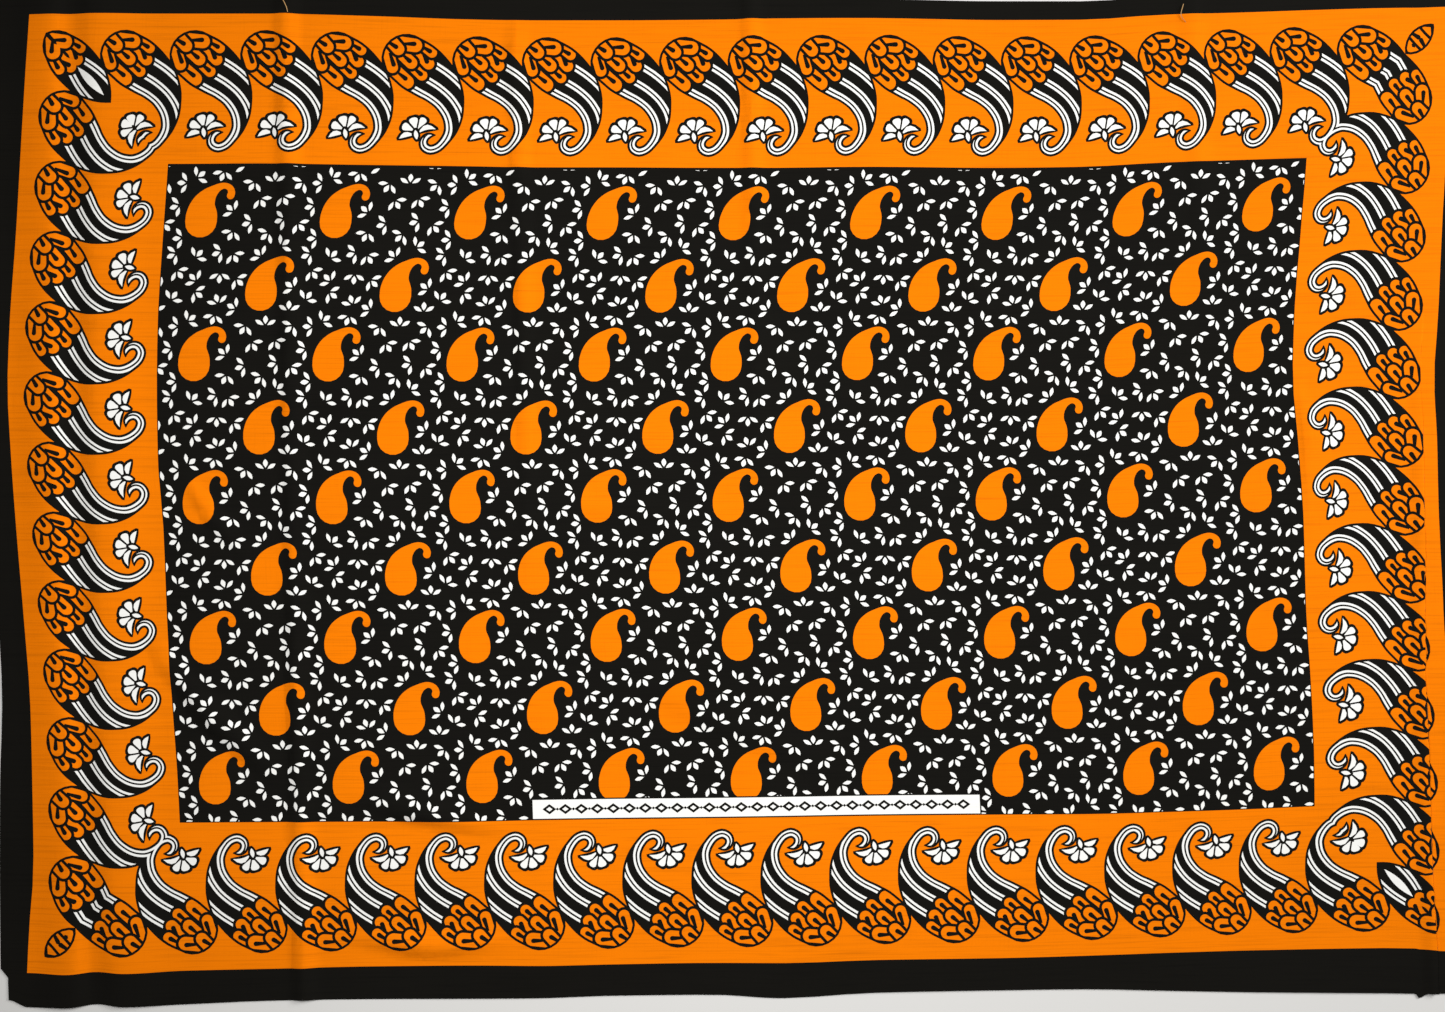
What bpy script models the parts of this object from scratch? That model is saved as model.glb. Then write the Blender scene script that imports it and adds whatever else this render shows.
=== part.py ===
"""Kanga wrap cloth: one unhemmed printed cotton rectangle, laid out flat on its back.

The cloth is a single panel, cut straight across at both short ends and with a selvedge
along both long sides. It lies on the plane Z = 0, long side along X, top of the print
towards +Y. Packing creases run across it, a tuck hides a narrow strip near the right
end, and a few wrinkles lift it by some millimetres. Between them the underside is flat
at Z = 0. Tables are in millimetres from the middle of the laid cloth.
"""
import math
from bisect import bisect_right
from typing import NamedTuple

import bmesh
import bpy

MM = 0.001

WALL = 1.5
COLUMN_GAP = 44.0
ROW_GAP = 34.0

# Rows of the grid that hold a wrinkle's crest or foot, or a step in the cut edge.
ROW_GUIDES = (
    -509.5, -467.5, -463.5, -448.0, -436.0, -420.0, -342.0, -328.0, -316.0, -300.0,
    -282.0, -169.5, -56.0, -24.0, -11.0, 4.0, 70.0, 118.5, 509.5,
)

PRINT_ORANGE = (0.964, 0.223, 0.001, 1.0)
COTTON_ROUGHNESS = 0.85


class ShortEnd(NamedTuple):
    """How far out the two cut ends lie at one height of the cloth."""
    y: float
    left: float
    right: float


SHORT_ENDS = (
    ShortEnd(y=-501.5, left=-718.5, right=743.5),
    ShortEnd(y=-467.5, left=-719.5, right=743.5),
    ShortEnd(y=-463.5, left=-726.5, right=743.5),
    ShortEnd(y=-431.5, left=-727.0, right=744.5),
    ShortEnd(y=-361.5, left=-727.5, right=746.5),
    ShortEnd(y=-281.5, left=-727.0, right=747.5),
    ShortEnd(y=-201.5, left=-725.0, right=746.5),
    ShortEnd(y=-169.5, left=-722.5, right=745.5),
    ShortEnd(y=-121.5, left=-728.5, right=743.5),
    ShortEnd(y=-21.5, left=-739.5, right=739.0),
    ShortEnd(y=48.5, left=-747.5, right=738.5),
    ShortEnd(y=118.5, left=-751.5, right=734.5),
    ShortEnd(y=178.5, left=-748.5, right=737.5),
    ShortEnd(y=268.5, left=-743.5, right=742.5),
    ShortEnd(y=358.5, left=-737.5, right=746.5),
    ShortEnd(y=506.0, left=-728.5, right=751.5),
)


class Selvedge(NamedTuple):
    """Where the two long sides lie at one place along the cloth."""
    x: float
    bottom: float
    top: float


SELVEDGES = (
    Selvedge(x=-751.5, bottom=-501.5, top=501.5),
    Selvedge(x=-718.5, bottom=-501.5, top=501.5),
    Selvedge(x=-695.5, bottom=-508.5, top=501.5),
    Selvedge(x=-664.5, bottom=-509.5, top=502.5),
    Selvedge(x=-631.5, bottom=-505.5, top=503.0),
    Selvedge(x=-607.5, bottom=-508.0, top=503.5),
    Selvedge(x=-547.5, bottom=-505.5, top=503.5),
    Selvedge(x=-467.5, bottom=-502.0, top=503.5),
    Selvedge(x=-367.5, bottom=-500.5, top=501.5),
    Selvedge(x=-257.5, bottom=-500.0, top=499.5),
    Selvedge(x=-127.5, bottom=-497.0, top=499.5),
    Selvedge(x=-27.5, bottom=-496.0, top=499.5),
    Selvedge(x=40.5, bottom=-499.5, top=500.5),
    Selvedge(x=132.5, bottom=-494.0, top=499.5),
    Selvedge(x=262.5, bottom=-491.5, top=497.0),
    Selvedge(x=347.5, bottom=-490.5, top=497.0),
    Selvedge(x=432.5, bottom=-492.0, top=502.5),
    Selvedge(x=517.5, bottom=-493.5, top=505.0),
    Selvedge(x=617.5, bottom=-494.0, top=507.5),
    Selvedge(x=667.5, bottom=-495.0, top=508.5),
    Selvedge(x=676.5, bottom=-499.5, top=508.5),
    Selvedge(x=684.5, bottom=-495.0, top=508.5),
    Selvedge(x=751.5, bottom=-495.5, top=509.5),
)


class Crease(NamedTuple):
    """A ridge that runs down the cloth, from its top end to its bottom end.

    The crest passes through three points. Its height is stated at each, and the two
    reaches say how far the flanks run out to the left and the right of the crest.
    """
    name: str
    top_x: float
    top_y: float
    middle_x: float
    middle_y: float
    bottom_x: float
    bottom_y: float
    top_height: float
    middle_height: float
    bottom_height: float
    left_reach: float
    right_reach: float


CREASES = (
    Crease("left_margin_roll", -676, 510, -676, 60, -652, -510, 3.5, 5.0, 3.5, 46, 18),
    Crease("first_fold", -633, 510, -630, 60, -608, -510, 3.0, 4.0, 2.5, 24, 58),
    Crease("second_fold", -443, 510, -437, 98, -424, -510, 3.2, 3.0, 2.6, 18, 22),
    Crease("third_fold", -213, 480, -205, 198, -196, -170, 2.4, 2.6, 0.0, 16, 18),
    Crease("fourth_fold", 22, 510, 26, 248, 38, -230, 3.0, 2.2, 0.0, 14, 16),
    Crease("fifth_fold", 240, 350, 248, 220, 258, 70, 0.0, 1.8, 0.0, 16, 18),
    Crease("sixth_fold", 462, 510, 472, 300, 482, 90, 1.6, 1.4, 0.0, 16, 18),
    Crease("field_side_pinch", 569, 130, 580, 70, 586, -60, 0.0, 3.2, 0.0, 14, 5),
    Crease("right_end_tuck", 692, 178, 699, -79, 716, -510, 0.0, 3.4, 3.6, 24, 5),
)


class Wrinkle(NamedTuple):
    """A soft ridge across the cloth, highest in the middle and gone at both ends.

    The two reaches are above and below the crest line.
    """
    name: str
    start_x: float
    start_y: float
    middle_x: float
    middle_y: float
    end_x: float
    end_y: float
    height: float
    reach_above: float
    reach_below: float


WRINKLES = (
    Wrinkle("half_way_crease", -300, 8, -90, -11, 26, -12, 2.0, 15, 15),
    Wrinkle("left_upper_drag", -556, 26, -512, -22, -468, -56, 3.6, 22, 18),
    Wrinkle("left_lower_drag", -600, -140, -508, -226, -420, -282, 5.5, 30, 24),
    Wrinkle("middle_drag", -178, -158, 12, -228, 176, -286, 3.0, 32, 26),
    Wrinkle("lower_buckle", -392, -300, -298, -316, -196, -328, 6.0, 26, 16),
    Wrinkle("bottom_hem_buckle", -396, -436, -298, -448, -190, -440, 5.5, 20, 15),
)


def along(knots, position):
    """Return the value at a position between knots of (position, value)."""
    places = [place for place, _ in knots]
    if position <= places[0]:
        return knots[0][1]
    if position >= places[-1]:
        return knots[-1][1]
    after = bisect_right(places, position)
    (low, low_value), (high, high_value) = knots[after - 1], knots[after]
    share = (position - low) / (high - low)
    return low_value + (high_value - low_value) * share


def eased(share):
    """Return a share from 0 to 1 with soft ends."""
    return share * share * (3.0 - 2.0 * share)


def flank(offset, reach):
    """Return a ridge's height at an offset from its crest, as a share of the crest's."""
    return eased(max(0.0, 1.0 - abs(offset) / reach))


def crest_x(crease, y):
    """Return where a crease's crest lies across the cloth at height y."""
    knots = (
        (crease.bottom_y, crease.bottom_x),
        (crease.middle_y, crease.middle_x),
        (crease.top_y, crease.top_x),
    )
    return along(knots, y)


def crease_lift(crease, x, y):
    """Return how far one crease lifts the cloth at a point."""
    if not crease.bottom_y <= y <= crease.top_y:
        return 0.0
    heights = (
        (crease.bottom_y, crease.bottom_height),
        (crease.middle_y, crease.middle_height),
        (crease.top_y, crease.top_height),
    )
    offset = x - crest_x(crease, y)
    reach = crease.left_reach if offset < 0.0 else crease.right_reach
    return along(heights, y) * flank(offset, reach)


def wrinkle_lift(wrinkle, x, y):
    """Return how far one wrinkle lifts the cloth at a point."""
    if not wrinkle.start_x <= x <= wrinkle.end_x:
        return 0.0
    crest = along(
        (
            (wrinkle.start_x, wrinkle.start_y),
            (wrinkle.middle_x, wrinkle.middle_y),
            (wrinkle.end_x, wrinkle.end_y),
        ),
        x,
    )
    swell = along(((wrinkle.start_x, 0.0), (wrinkle.middle_x, 1.0), (wrinkle.end_x, 0.0)), x)
    offset = y - crest
    reach = wrinkle.reach_above if offset > 0.0 else wrinkle.reach_below
    return wrinkle.height * eased(swell) * flank(offset, reach)


def lift(x, y):
    """Return the height of the cloth's underside above the floor, in millimetres."""
    lifts = [crease_lift(crease, x, y) for crease in CREASES]
    lifts += [wrinkle_lift(wrinkle, x, y) for wrinkle in WRINKLES]
    return max(lifts)


def steps_between(start, end, gap):
    """Return how many even steps the way from start to end takes, none wider than the gap."""
    return max(1, math.ceil(abs(end - start) / gap))


def spread(guides, counts):
    """Return the guides with even places added, counts[i] steps from guide i to the next."""
    places = [guides[0]]
    for start, end, steps in zip(guides, guides[1:], counts):
        places += [start + (end - start) * step / steps for step in range(1, steps + 1)]
    return places


def column_guides(y):
    """Return the x of both short ends and of every crease's crest, flanks and feet."""
    guides = [along([(end.y, end.left) for end in SHORT_ENDS], y)]
    for crease in CREASES:
        crest = crest_x(crease, y)
        guides += [
            crest - crease.left_reach,
            crest - crease.left_reach * 0.5,
            crest,
            crest + crease.right_reach * 0.5,
            crest + crease.right_reach,
        ]
    guides.append(along([(end.y, end.right) for end in SHORT_ENDS], y))
    return guides


def row_heights():
    """Return the height of every row, from the bottom side to the top side."""
    counts = [steps_between(*pair, ROW_GAP) for pair in zip(ROW_GUIDES, ROW_GUIDES[1:])]
    return spread(ROW_GUIDES, counts)


def cloth_points():
    """Return rows of (x, y, lift) points over the laid cloth, bottom row first."""
    middle = column_guides(0.0)
    counts = [steps_between(*pair, COLUMN_GAP) for pair in zip(middle, middle[1:])]
    bottom_knots = [(side.x, side.bottom) for side in SELVEDGES]
    top_knots = [(side.x, side.top) for side in SELVEDGES]
    low, high = ROW_GUIDES[0], ROW_GUIDES[-1]
    rows = []
    for level in row_heights():
        share = (level - low) / (high - low)
        row = []
        for x in spread(column_guides(level), counts):
            bottom = along(bottom_knots, x)
            y = bottom + (along(top_knots, x) - bottom) * share
            row.append((x, y, lift(x, y)))
        rows.append(row)
    return rows


def cotton_material():
    """Return the printed cotton's material."""
    material = bpy.data.materials.new("printed_cotton")
    material.use_nodes = True
    shader = material.node_tree.nodes["Principled BSDF"]
    shader.inputs["Base Color"].default_value = PRINT_ORANGE
    shader.inputs["Roughness"].default_value = COTTON_ROUGHNESS
    shader.inputs["Metallic"].default_value = 0.0
    return material


def build_panel():
    """Build the laid panel: a grid bent over the creases, then given its thickness."""
    rows = cloth_points()
    row_count = len(rows)
    column_count = len(rows[0])
    cloth = bmesh.new()
    bmesh.ops.create_grid(
        cloth, x_segments=column_count - 1, y_segments=row_count - 1, size=1.0
    )
    for vert in cloth.verts:
        column = round((vert.co.x + 1.0) / 2.0 * (column_count - 1))
        row = round((vert.co.y + 1.0) / 2.0 * (row_count - 1))
        x, y, height = rows[row][column]
        vert.co = (x * MM, y * MM, height * MM)
    upper = bmesh.ops.extrude_face_region(cloth, geom=cloth.faces[:])
    upper_verts = [item for item in upper["geom"] if isinstance(item, bmesh.types.BMVert)]
    bmesh.ops.translate(cloth, verts=upper_verts, vec=(0.0, 0.0, WALL * MM))
    bmesh.ops.triangulate(cloth, faces=cloth.faces[:])
    bmesh.ops.recalc_face_normals(cloth, faces=cloth.faces[:])
    mesh = bpy.data.meshes.new("kanga_panel")
    cloth.to_mesh(mesh)
    cloth.free()
    mesh.shade_smooth()
    mesh.set_sharp_from_angle(angle=0.6)
    mesh.materials.append(cotton_material())
    panel = bpy.data.objects.new("kanga_panel", mesh)
    bpy.context.scene.collection.objects.link(panel)
    return panel


def main():
    """Clear the scene and build the cloth."""
    for item in list(bpy.data.objects):
        bpy.data.objects.remove(item, do_unlink=True)
    build_panel()


main()
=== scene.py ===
"""Looks of a kanga wrap cloth that lies flat: the printed cotton, its folds and its light.

The print is drawn flat, on the cut, and then laid: every point of the cut goes to its
place on the floor, over the packing folds, the wrinkles and the tuck near the right end.
Flat points are (u, v) in millimetres from the middle of the cut, u along the long side
and v towards the top of the print. Laid points are in millimetres too, from the middle
of the laid cloth, until a mesh is written in metres.
"""

import logging
import math
from dataclasses import dataclass, field
from enum import Enum
from typing import NamedTuple, Optional, Sequence

import bmesh
import bpy
import numpy as np
from mathutils import Matrix, Vector
from mathutils.bvhtree import BVHTree
from mathutils.geometry import delaunay_2d_cdt


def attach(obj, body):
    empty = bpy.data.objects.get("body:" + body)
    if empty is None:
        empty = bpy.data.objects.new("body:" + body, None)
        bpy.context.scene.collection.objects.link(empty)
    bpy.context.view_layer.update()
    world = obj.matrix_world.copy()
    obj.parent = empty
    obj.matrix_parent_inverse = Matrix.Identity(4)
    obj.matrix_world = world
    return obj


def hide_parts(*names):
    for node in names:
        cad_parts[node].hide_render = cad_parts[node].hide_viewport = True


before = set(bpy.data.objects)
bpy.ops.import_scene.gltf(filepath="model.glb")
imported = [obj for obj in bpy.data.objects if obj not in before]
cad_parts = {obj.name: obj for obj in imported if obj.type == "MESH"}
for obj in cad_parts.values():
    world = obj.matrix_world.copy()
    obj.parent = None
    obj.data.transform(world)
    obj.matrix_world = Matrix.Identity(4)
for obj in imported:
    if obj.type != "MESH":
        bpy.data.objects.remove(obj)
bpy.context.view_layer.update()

LOG = logging.getLogger("kanga")
MM = 0.001
PRINT_RISE = 0.12
PRINT_THICKNESS = 0.1
LEAF_PROFILE = ((0.0, 0.0), (0.3, 0.72), (0.56, 1.0), (0.82, 0.62), (1.0, 0.0))
LENS_PROFILE = ((0.0, 0.0), (0.12, 0.42), (0.35, 0.9), (0.6, 0.96), (0.82, 0.62), (1.0, 0.0))
PETAL_PROFILE = ((0.0, 0.08), (0.35, 0.5), (0.66, 0.92), (0.84, 1.0), (0.95, 0.72), (1.0, 0.3))
BODY = "root"
CAD_NODE = "kanga_panel"

Point = tuple[float, float]


class Ink(Enum):
    """The colours of the print. Black is the dyed ground, so it needs no piece."""
    BLACK = "black"
    ORANGE = "orange"
    WHITE = "white"


class Side(Enum):
    """The four sides of the printed border."""
    TOP = "top"
    LEFT = "left"
    BOTTOM = "bottom"
    RIGHT = "right"


class LaidColumn(NamedTuple):
    """Where the upright lines of the print lie across the floor, at one height v."""
    v: float
    edge_left: float
    band_left: float
    field_left: float
    left_paisley: float
    middle_paisley: float
    right_paisley: float
    field_right: float
    right_heads: float
    band_right: float
    edge_right: float


class LaidRow(NamedTuple):
    """Where the level printed lines lie on the floor, at one place u along the cut."""
    u: float
    edge_bottom: float
    band_bottom: float
    field_bottom: float
    field_middle: float
    field_top: float
    band_top: float
    edge_top: float


class Crease(NamedTuple):
    """A ridge down the laid cloth, through three crest points with their heights."""
    name: str
    top_x: float
    top_y: float
    middle_x: float
    middle_y: float
    bottom_x: float
    bottom_y: float
    top_height: float
    middle_height: float
    bottom_height: float
    left_reach: float
    right_reach: float


class Wrinkle(NamedTuple):
    """A soft ridge across the laid cloth, highest in the middle and gone at both ends."""
    name: str
    start_x: float
    start_y: float
    middle_x: float
    middle_y: float
    end_x: float
    end_y: float
    height: float
    reach_above: float
    reach_below: float


class TuckStation(NamedTuple):
    """The tuck near the right end at one height v: where it folds and what it hides."""
    v: float
    fold_u: float
    hidden: float


class Station(NamedTuple):
    """One place on the middle line of a curled motif, and half the motif's width there."""
    along: float
    across: float
    half: float


class Feather(NamedTuple):
    """A scale of the curled motif's head, and the black slit that opens in it.

    Both start from their own point and point along their own heading, in degrees.
    """
    along: float
    across: float
    heading: float
    length: float
    width: float
    slit_along: float
    slit_across: float
    slit_heading: float
    slit_length: float


class Petal(NamedTuple):
    """A petal of the fan flower: its base, its heading, its size and its bend upwards."""
    along: float
    across: float
    heading: float
    length: float
    width: float
    bend: float
    pointed: bool


class YarnPoint(NamedTuple):
    """A point on a loose yarn: its place on the floor and its lift off the cloth."""
    x: float
    y: float
    lift: float


class Sprig(NamedTuple):
    """A three-leaved sprig of the field: its root and the heading of its middle leaf."""
    u: float
    v: float
    heading: float


LAID_COLUMNS = (
    LaidColumn(-501.0, -718.5, -700.5, -547.0, -239.0, 26.5, 422.5, 587.5, 671.5, 735.0, 764.5),
    LaidColumn(-466.0, -719.5, -700.5, -547.0, -238.0, 27.5, 423.5, 587.5, 671.5, 735.5, 765.0),
    LaidColumn(-462.0, -726.5, -700.0, -547.0, -238.0, 27.5, 423.5, 587.5, 671.5, 735.5, 765.0),
    LaidColumn(-428.0, -727.0, -698.5, -547.0, -236.5, 29.0, 425.0, 587.5, 671.5, 735.5, 765.0),
    LaidColumn(-358.5, -727.5, -693.5, -546.5, -235.5, 28.5, 422.5, 587.0, 671.0, 736.0, 765.5),
    LaidColumn(-279.0, -727.0, -694.5, -549.5, -237.5, 26.5, 418.5, 586.5, 669.0, 734.5, 764.0),
    LaidColumn(-199.0, -725.0, -696.5, -555.0, -241.5, 22.0, 414.0, 583.5, 665.5, 731.0, 760.5),
    LaidColumn(-119.5, -728.5, -702.5, -560.0, -246.0, 16.0, 409.5, 578.5, 657.0, 722.8, 752.5),
    LaidColumn(-20.0, -739.5, -711.0, -564.0, -253.0, 9.5, 404.0, 575.5, 649.0, 716.0, 746.0),
    LaidColumn(50.0, -747.5, -716.0, -569.5, -257.0, 6.5, 400.5, 570.5, 645.0, 713.0, 742.5),
    LaidColumn(119.5, -751.5, -719.5, -570.5, -257.5, 6.0, 399.5, 565.0, 644.0, 708.5, 738.0),
    LaidColumn(179.0, -748.5, -717.5, -569.5, -256.0, 8.0, 401.5, 566.5, 646.0, 710.5, 740.0),
    LaidColumn(269.0, -743.5, -711.0, -564.0, -250.5, 13.5, 407.0, 573.5, 649.5, 714.5, 743.5),
    LaidColumn(358.5, -737.5, -705.5, -558.0, -241.5, 23.0, 415.5, 579.5, 656.5, 719.0, 748.0),
    LaidColumn(438.0, -732.5, -700.5, -555.0, -239.5, 23.0, 415.0, 577.5, 657.5, 720.5, 750.0),
    LaidColumn(501.0, -728.5, -696.5, -554.5, -237.0, 25.5, 417.5, 578.5, 659.0, 723.0, 752.0),
)

LAID_ROWS = (
    LaidRow(-745.5, -501.5, -474.5, -324.0, -0.5, 334.5, 483.5, 501.5),
    LaidRow(-713.5, -508.5, -474.5, -324.0, -0.5, 334.5, 483.5, 501.5),
    LaidRow(-680.0, -509.0, -476.0, -324.0, -0.5, 334.5, 484.0, 502.5),
    LaidRow(-647.0, -505.5, -473.5, -324.0, -0.5, 334.5, 484.5, 503.0),
    LaidRow(-623.0, -508.0, -475.0, -324.0, -0.5, 334.5, 484.5, 503.5),
    LaidRow(-562.5, -505.5, -472.0, -324.0, -0.5, 334.5, 484.5, 503.5),
    LaidRow(-482.0, -502.0, -470.5, -323.5, 0.0, 335.0, 484.5, 503.5),
    LaidRow(-381.0, -500.5, -468.0, -323.0, -0.5, 333.5, 482.0, 501.5),
    LaidRow(-270.5, -500.0, -467.0, -322.5, 0.5, 332.0, 477.5, 499.5),
    LaidRow(-210.0, -499.5, -467.5, -321.5, 0.5, 331.0, 476.5, 499.5),
    LaidRow(-139.5, -497.0, -466.0, -320.5, 1.0, 331.0, 476.5, 499.5),
    LaidRow(-39.0, -496.0, -464.5, -319.5, 1.5, 330.5, 477.5, 499.5),
    LaidRow(29.5, -499.5, -464.5, -318.5, 2.0, 330.5, 479.0, 500.5),
    LaidRow(122.5, -494.0, -461.5, -317.0, 3.0, 331.5, 480.0, 499.5),
    LaidRow(253.0, -491.5, -459.5, -316.0, 3.0, 330.5, 478.0, 497.0),
    LaidRow(339.0, -490.5, -457.0, -315.5, 4.5, 331.5, 478.5, 497.0),
    LaidRow(414.5, -492.0, -454.0, -313.5, 7.0, 335.5, 483.0, 502.5),
    LaidRow(505.0, -493.5, -451.0, -310.5, 10.5, 338.5, 485.5, 505.0),
    LaidRow(575.5, -494.0, -449.5, -307.5, 13.5, 340.5, 488.0, 507.0),
    LaidRow(641.0, -494.5, -448.5, -306.0, 15.0, 341.5, 490.0, 508.5),
    LaidRow(666.0, -495.0, -449.0, -306.0, 15.0, 341.5, 490.5, 508.5),
    LaidRow(670.5, -499.5, -449.5, -306.0, 15.0, 341.5, 490.5, 508.5),
    LaidRow(679.0, -495.0, -450.0, -306.0, 15.0, 341.5, 490.5, 508.5),
    LaidRow(706.5, -495.0, -452.0, -306.0, 15.0, 342.0, 491.5, 509.0),
    LaidRow(745.5, -495.5, -452.0, -306.0, 15.0, 342.0, 492.5, 509.5),
)

CREASES = (
    Crease("left_margin_roll", -676, 510, -676, 60, -652, -510, 3.5, 5.0, 3.5, 46, 18),
    Crease("first_fold", -633, 510, -630, 60, -608, -510, 3.0, 4.0, 2.5, 24, 58),
    Crease("second_fold", -443, 510, -437, 98, -424, -510, 3.7, 3.3, 3.4, 14, 19),
    Crease("third_fold", -213, 480, -205, 198, -196, -170, 2.6, 2.8, 0.0, 13, 16),
    Crease("fourth_fold", 22, 510, 26, 248, 38, -230, 3.3, 2.5, 0.0, 12, 15),
    Crease("fifth_fold", 240, 350, 248, 220, 258, 70, 0.0, 1.8, 0.0, 16, 18),
    Crease("sixth_fold", 462, 510, 472, 300, 482, 90, 1.6, 1.4, 0.0, 16, 18),
    Crease("field_side_pinch", 569, 130, 580, 70, 586, -60, 0.0, 3.2, 0.0, 14, 5),
)

WRINKLES = (
    Wrinkle("half_way_crease", -300, 8, -90, -11, 26, -12, 2.0, 15, 15),
    Wrinkle("left_upper_drag", -556, 26, -512, -22, -468, -56, 3.6, 22, 18),
    Wrinkle("left_lower_drag", -600, -140, -508, -226, -420, -282, 5.5, 30, 24),
    Wrinkle("middle_drag", -178, -158, 12, -228, 176, -286, 3.0, 32, 26),
    Wrinkle("lower_buckle", -392, -300, -298, -316, -196, -328, 6.0, 26, 16),
    Wrinkle("bottom_hem_buckle", -396, -436, -298, -448, -190, -440, 5.5, 20, 15),
)

TUCK = (
    TuckStation(-501.0, 690.0, 8.0),
    TuckStation(-413.0, 685.5, 8.0),
    TuckStation(-358.0, 682.8, 8.5),
    TuckStation(-282.0, 682.0, 9.0),
    TuckStation(-217.0, 681.8, 10.0),
    TuckStation(-157.0, 686.5, 9.0),
    TuckStation(-92.0, 692.0, 6.2),
    TuckStation(-22.0, 696.5, 5.0),
    TuckStation(48.0, 698.5, 3.5),
    TuckStation(123.0, 699.5, 2.0),
    TuckStation(185.0, 700.0, 0.0),
    TuckStation(501.0, 700.0, 0.0),
)

HORN = (
    Station(-27.6, 40.6, 24.8),
    Station(-16.9, 47.7, 26.2),
    Station(-6.0, 55.6, 24.9),
    Station(5.0, 65.6, 21.9),
    Station(13.2, 78.0, 17.2),
    Station(17.2, 89.6, 12.9),
    Station(18.5, 98.2, 10.3),
    Station(18.0, 105.8, 8.1),
    Station(16.2, 112.8, 6.4),
    Station(12.0, 120.4, 5.3),
    Station(5.9, 127.4, 5.1),
    Station(-1.5, 130.2, 5.2),
    Station(-7.2, 127.6, 5.1),
    Station(-8.9, 122.8, 4.8),
    Station(-6.9, 118.2, 4.2),
    Station(-2.6, 115.8, 3.0),
    Station(2.9, 115.5, 0.4),
)

FEATHERS = (
    Feather(-38.2, 53.4, 41.0, 24.8, 19.0, -35.2, 54.8, 37.0, 11.0),
    Feather(-22.8, 46.4, 43.0, 22.6, 16.4, -20.0, 49.6, 40.0, 10.9),
    Feather(-18.0, 32.4, 46.0, 25.6, 17.0, -11.6, 35.4, 62.0, 10.4),
    Feather(-34.8, 33.8, 42.0, 24.6, 17.4, -31.0, 37.2, 40.0, 10.6),
    Feather(-48.4, 27.6, 72.0, 31.4, 16.6, -44.4, 35.0, 70.0, 14.6),
    Feather(-16.4, 23.2, 38.0, 24.6, 15.6, -12.6, 27.9, 30.0, 10.8),
    Feather(-40.0, 24.8, 6.0, 30.0, 19.0, -31.2, 25.8, -2.0, 12.8),
    Feather(-48.2, 18.2, 47.0, 26.6, 17.4, -47.2, 23.8, 31.0, 12.6),
)

PETALS = (
    Petal(-18.6, 115.8, 195.0, 14.6, 5.0, -2.4, True),
    Petal(-18.4, 111.3, 157.0, 12.4, 7.8, 0.0, False),
    Petal(-16.8, 110.0, 106.0, 11.9, 8.6, 0.0, False),
    Petal(-14.6, 109.2, 60.0, 12.0, 7.0, 0.0, False),
    Petal(-14.0, 113.8, 14.0, 17.2, 5.0, 4.0, True),
)

PAISLEY = (
    Station(-7.8, -10.4, 15.5),
    Station(-7.7, -3.2, 15.2),
    Station(-7.1, 3.9, 13.4),
    Station(-5.2, 10.3, 10.7),
    Station(-1.4, 16.3, 7.6),
    Station(3.4, 20.9, 4.9),
    Station(7.6, 23.6, 3.6),
    Station(12.2, 24.9, 2.9),
    Station(16.4, 23.8, 2.9),
    Station(19.0, 21.2, 3.2),
    Station(19.9, 17.8, 3.5),
    Station(19.3, 15.2, 3.7),
)

SPRIGS = (
    Sprig(-78.0, 96.0, 135), Sprig(-29.5, 100.0, 205), Sprig(-11.0, 95.0, 50),
    Sprig(15.0, 101.5, 200), Sprig(25.5, 99.5, 302), Sprig(-28.5, 83.5, 308),
    Sprig(-8.0, 72.0, 135), Sprig(14.5, 80.5, 268), Sprig(30.0, 75.0, 318),
    Sprig(-43.5, 65.0, 145), Sprig(-32.5, 53.5, 57), Sprig(-47.5, 42.5, 90),
    Sprig(-10.0, 62.5, 325), Sprig(14.5, 49.5, 108), Sprig(32.5, 44.5, 152),
    Sprig(11.5, 39.5, 252), Sprig(-15.5, 32.5, 38), Sprig(-23.5, 28.0, 180),
    Sprig(-70.5, 28.0, 90), Sprig(-42.5, 29.0, 222), Sprig(-90.0, 29.0, 240),
    Sprig(-84.0, 12.5, 303), Sprig(-61.0, 14.5, 300), Sprig(-29.5, 6.0, 197),
    Sprig(-57.5, -8.0, 197), Sprig(-45.0, -11.5, 313), Sprig(-72.5, -21.0, 225),
    Sprig(-59.5, -35.0, 37), Sprig(-24.5, -26.0, 187), Sprig(24.0, -1.0, 140),
    Sprig(-89.5, -11.0, 197), Sprig(24.5, -19.5, 245),
)


LOOSE_YARNS = (
    (
        YarnPoint(455.6, 494.0, 0.0), YarnPoint(454.3, 489.6, 0.8), YarnPoint(453.2, 485.2, 1.0),
        YarnPoint(453.2, 482.2, 0.8), YarnPoint(455.0, 479.0, 0.5), YarnPoint(457.9, 475.6, 0.0),
    ),
    (
        YarnPoint(-444.9, 499.4, 0.0), YarnPoint(-442.4, 495.8, 0.7),
        YarnPoint(-440.2, 490.6, 0.7), YarnPoint(-438.9, 485.4, 0.0),
    ),
)


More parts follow.
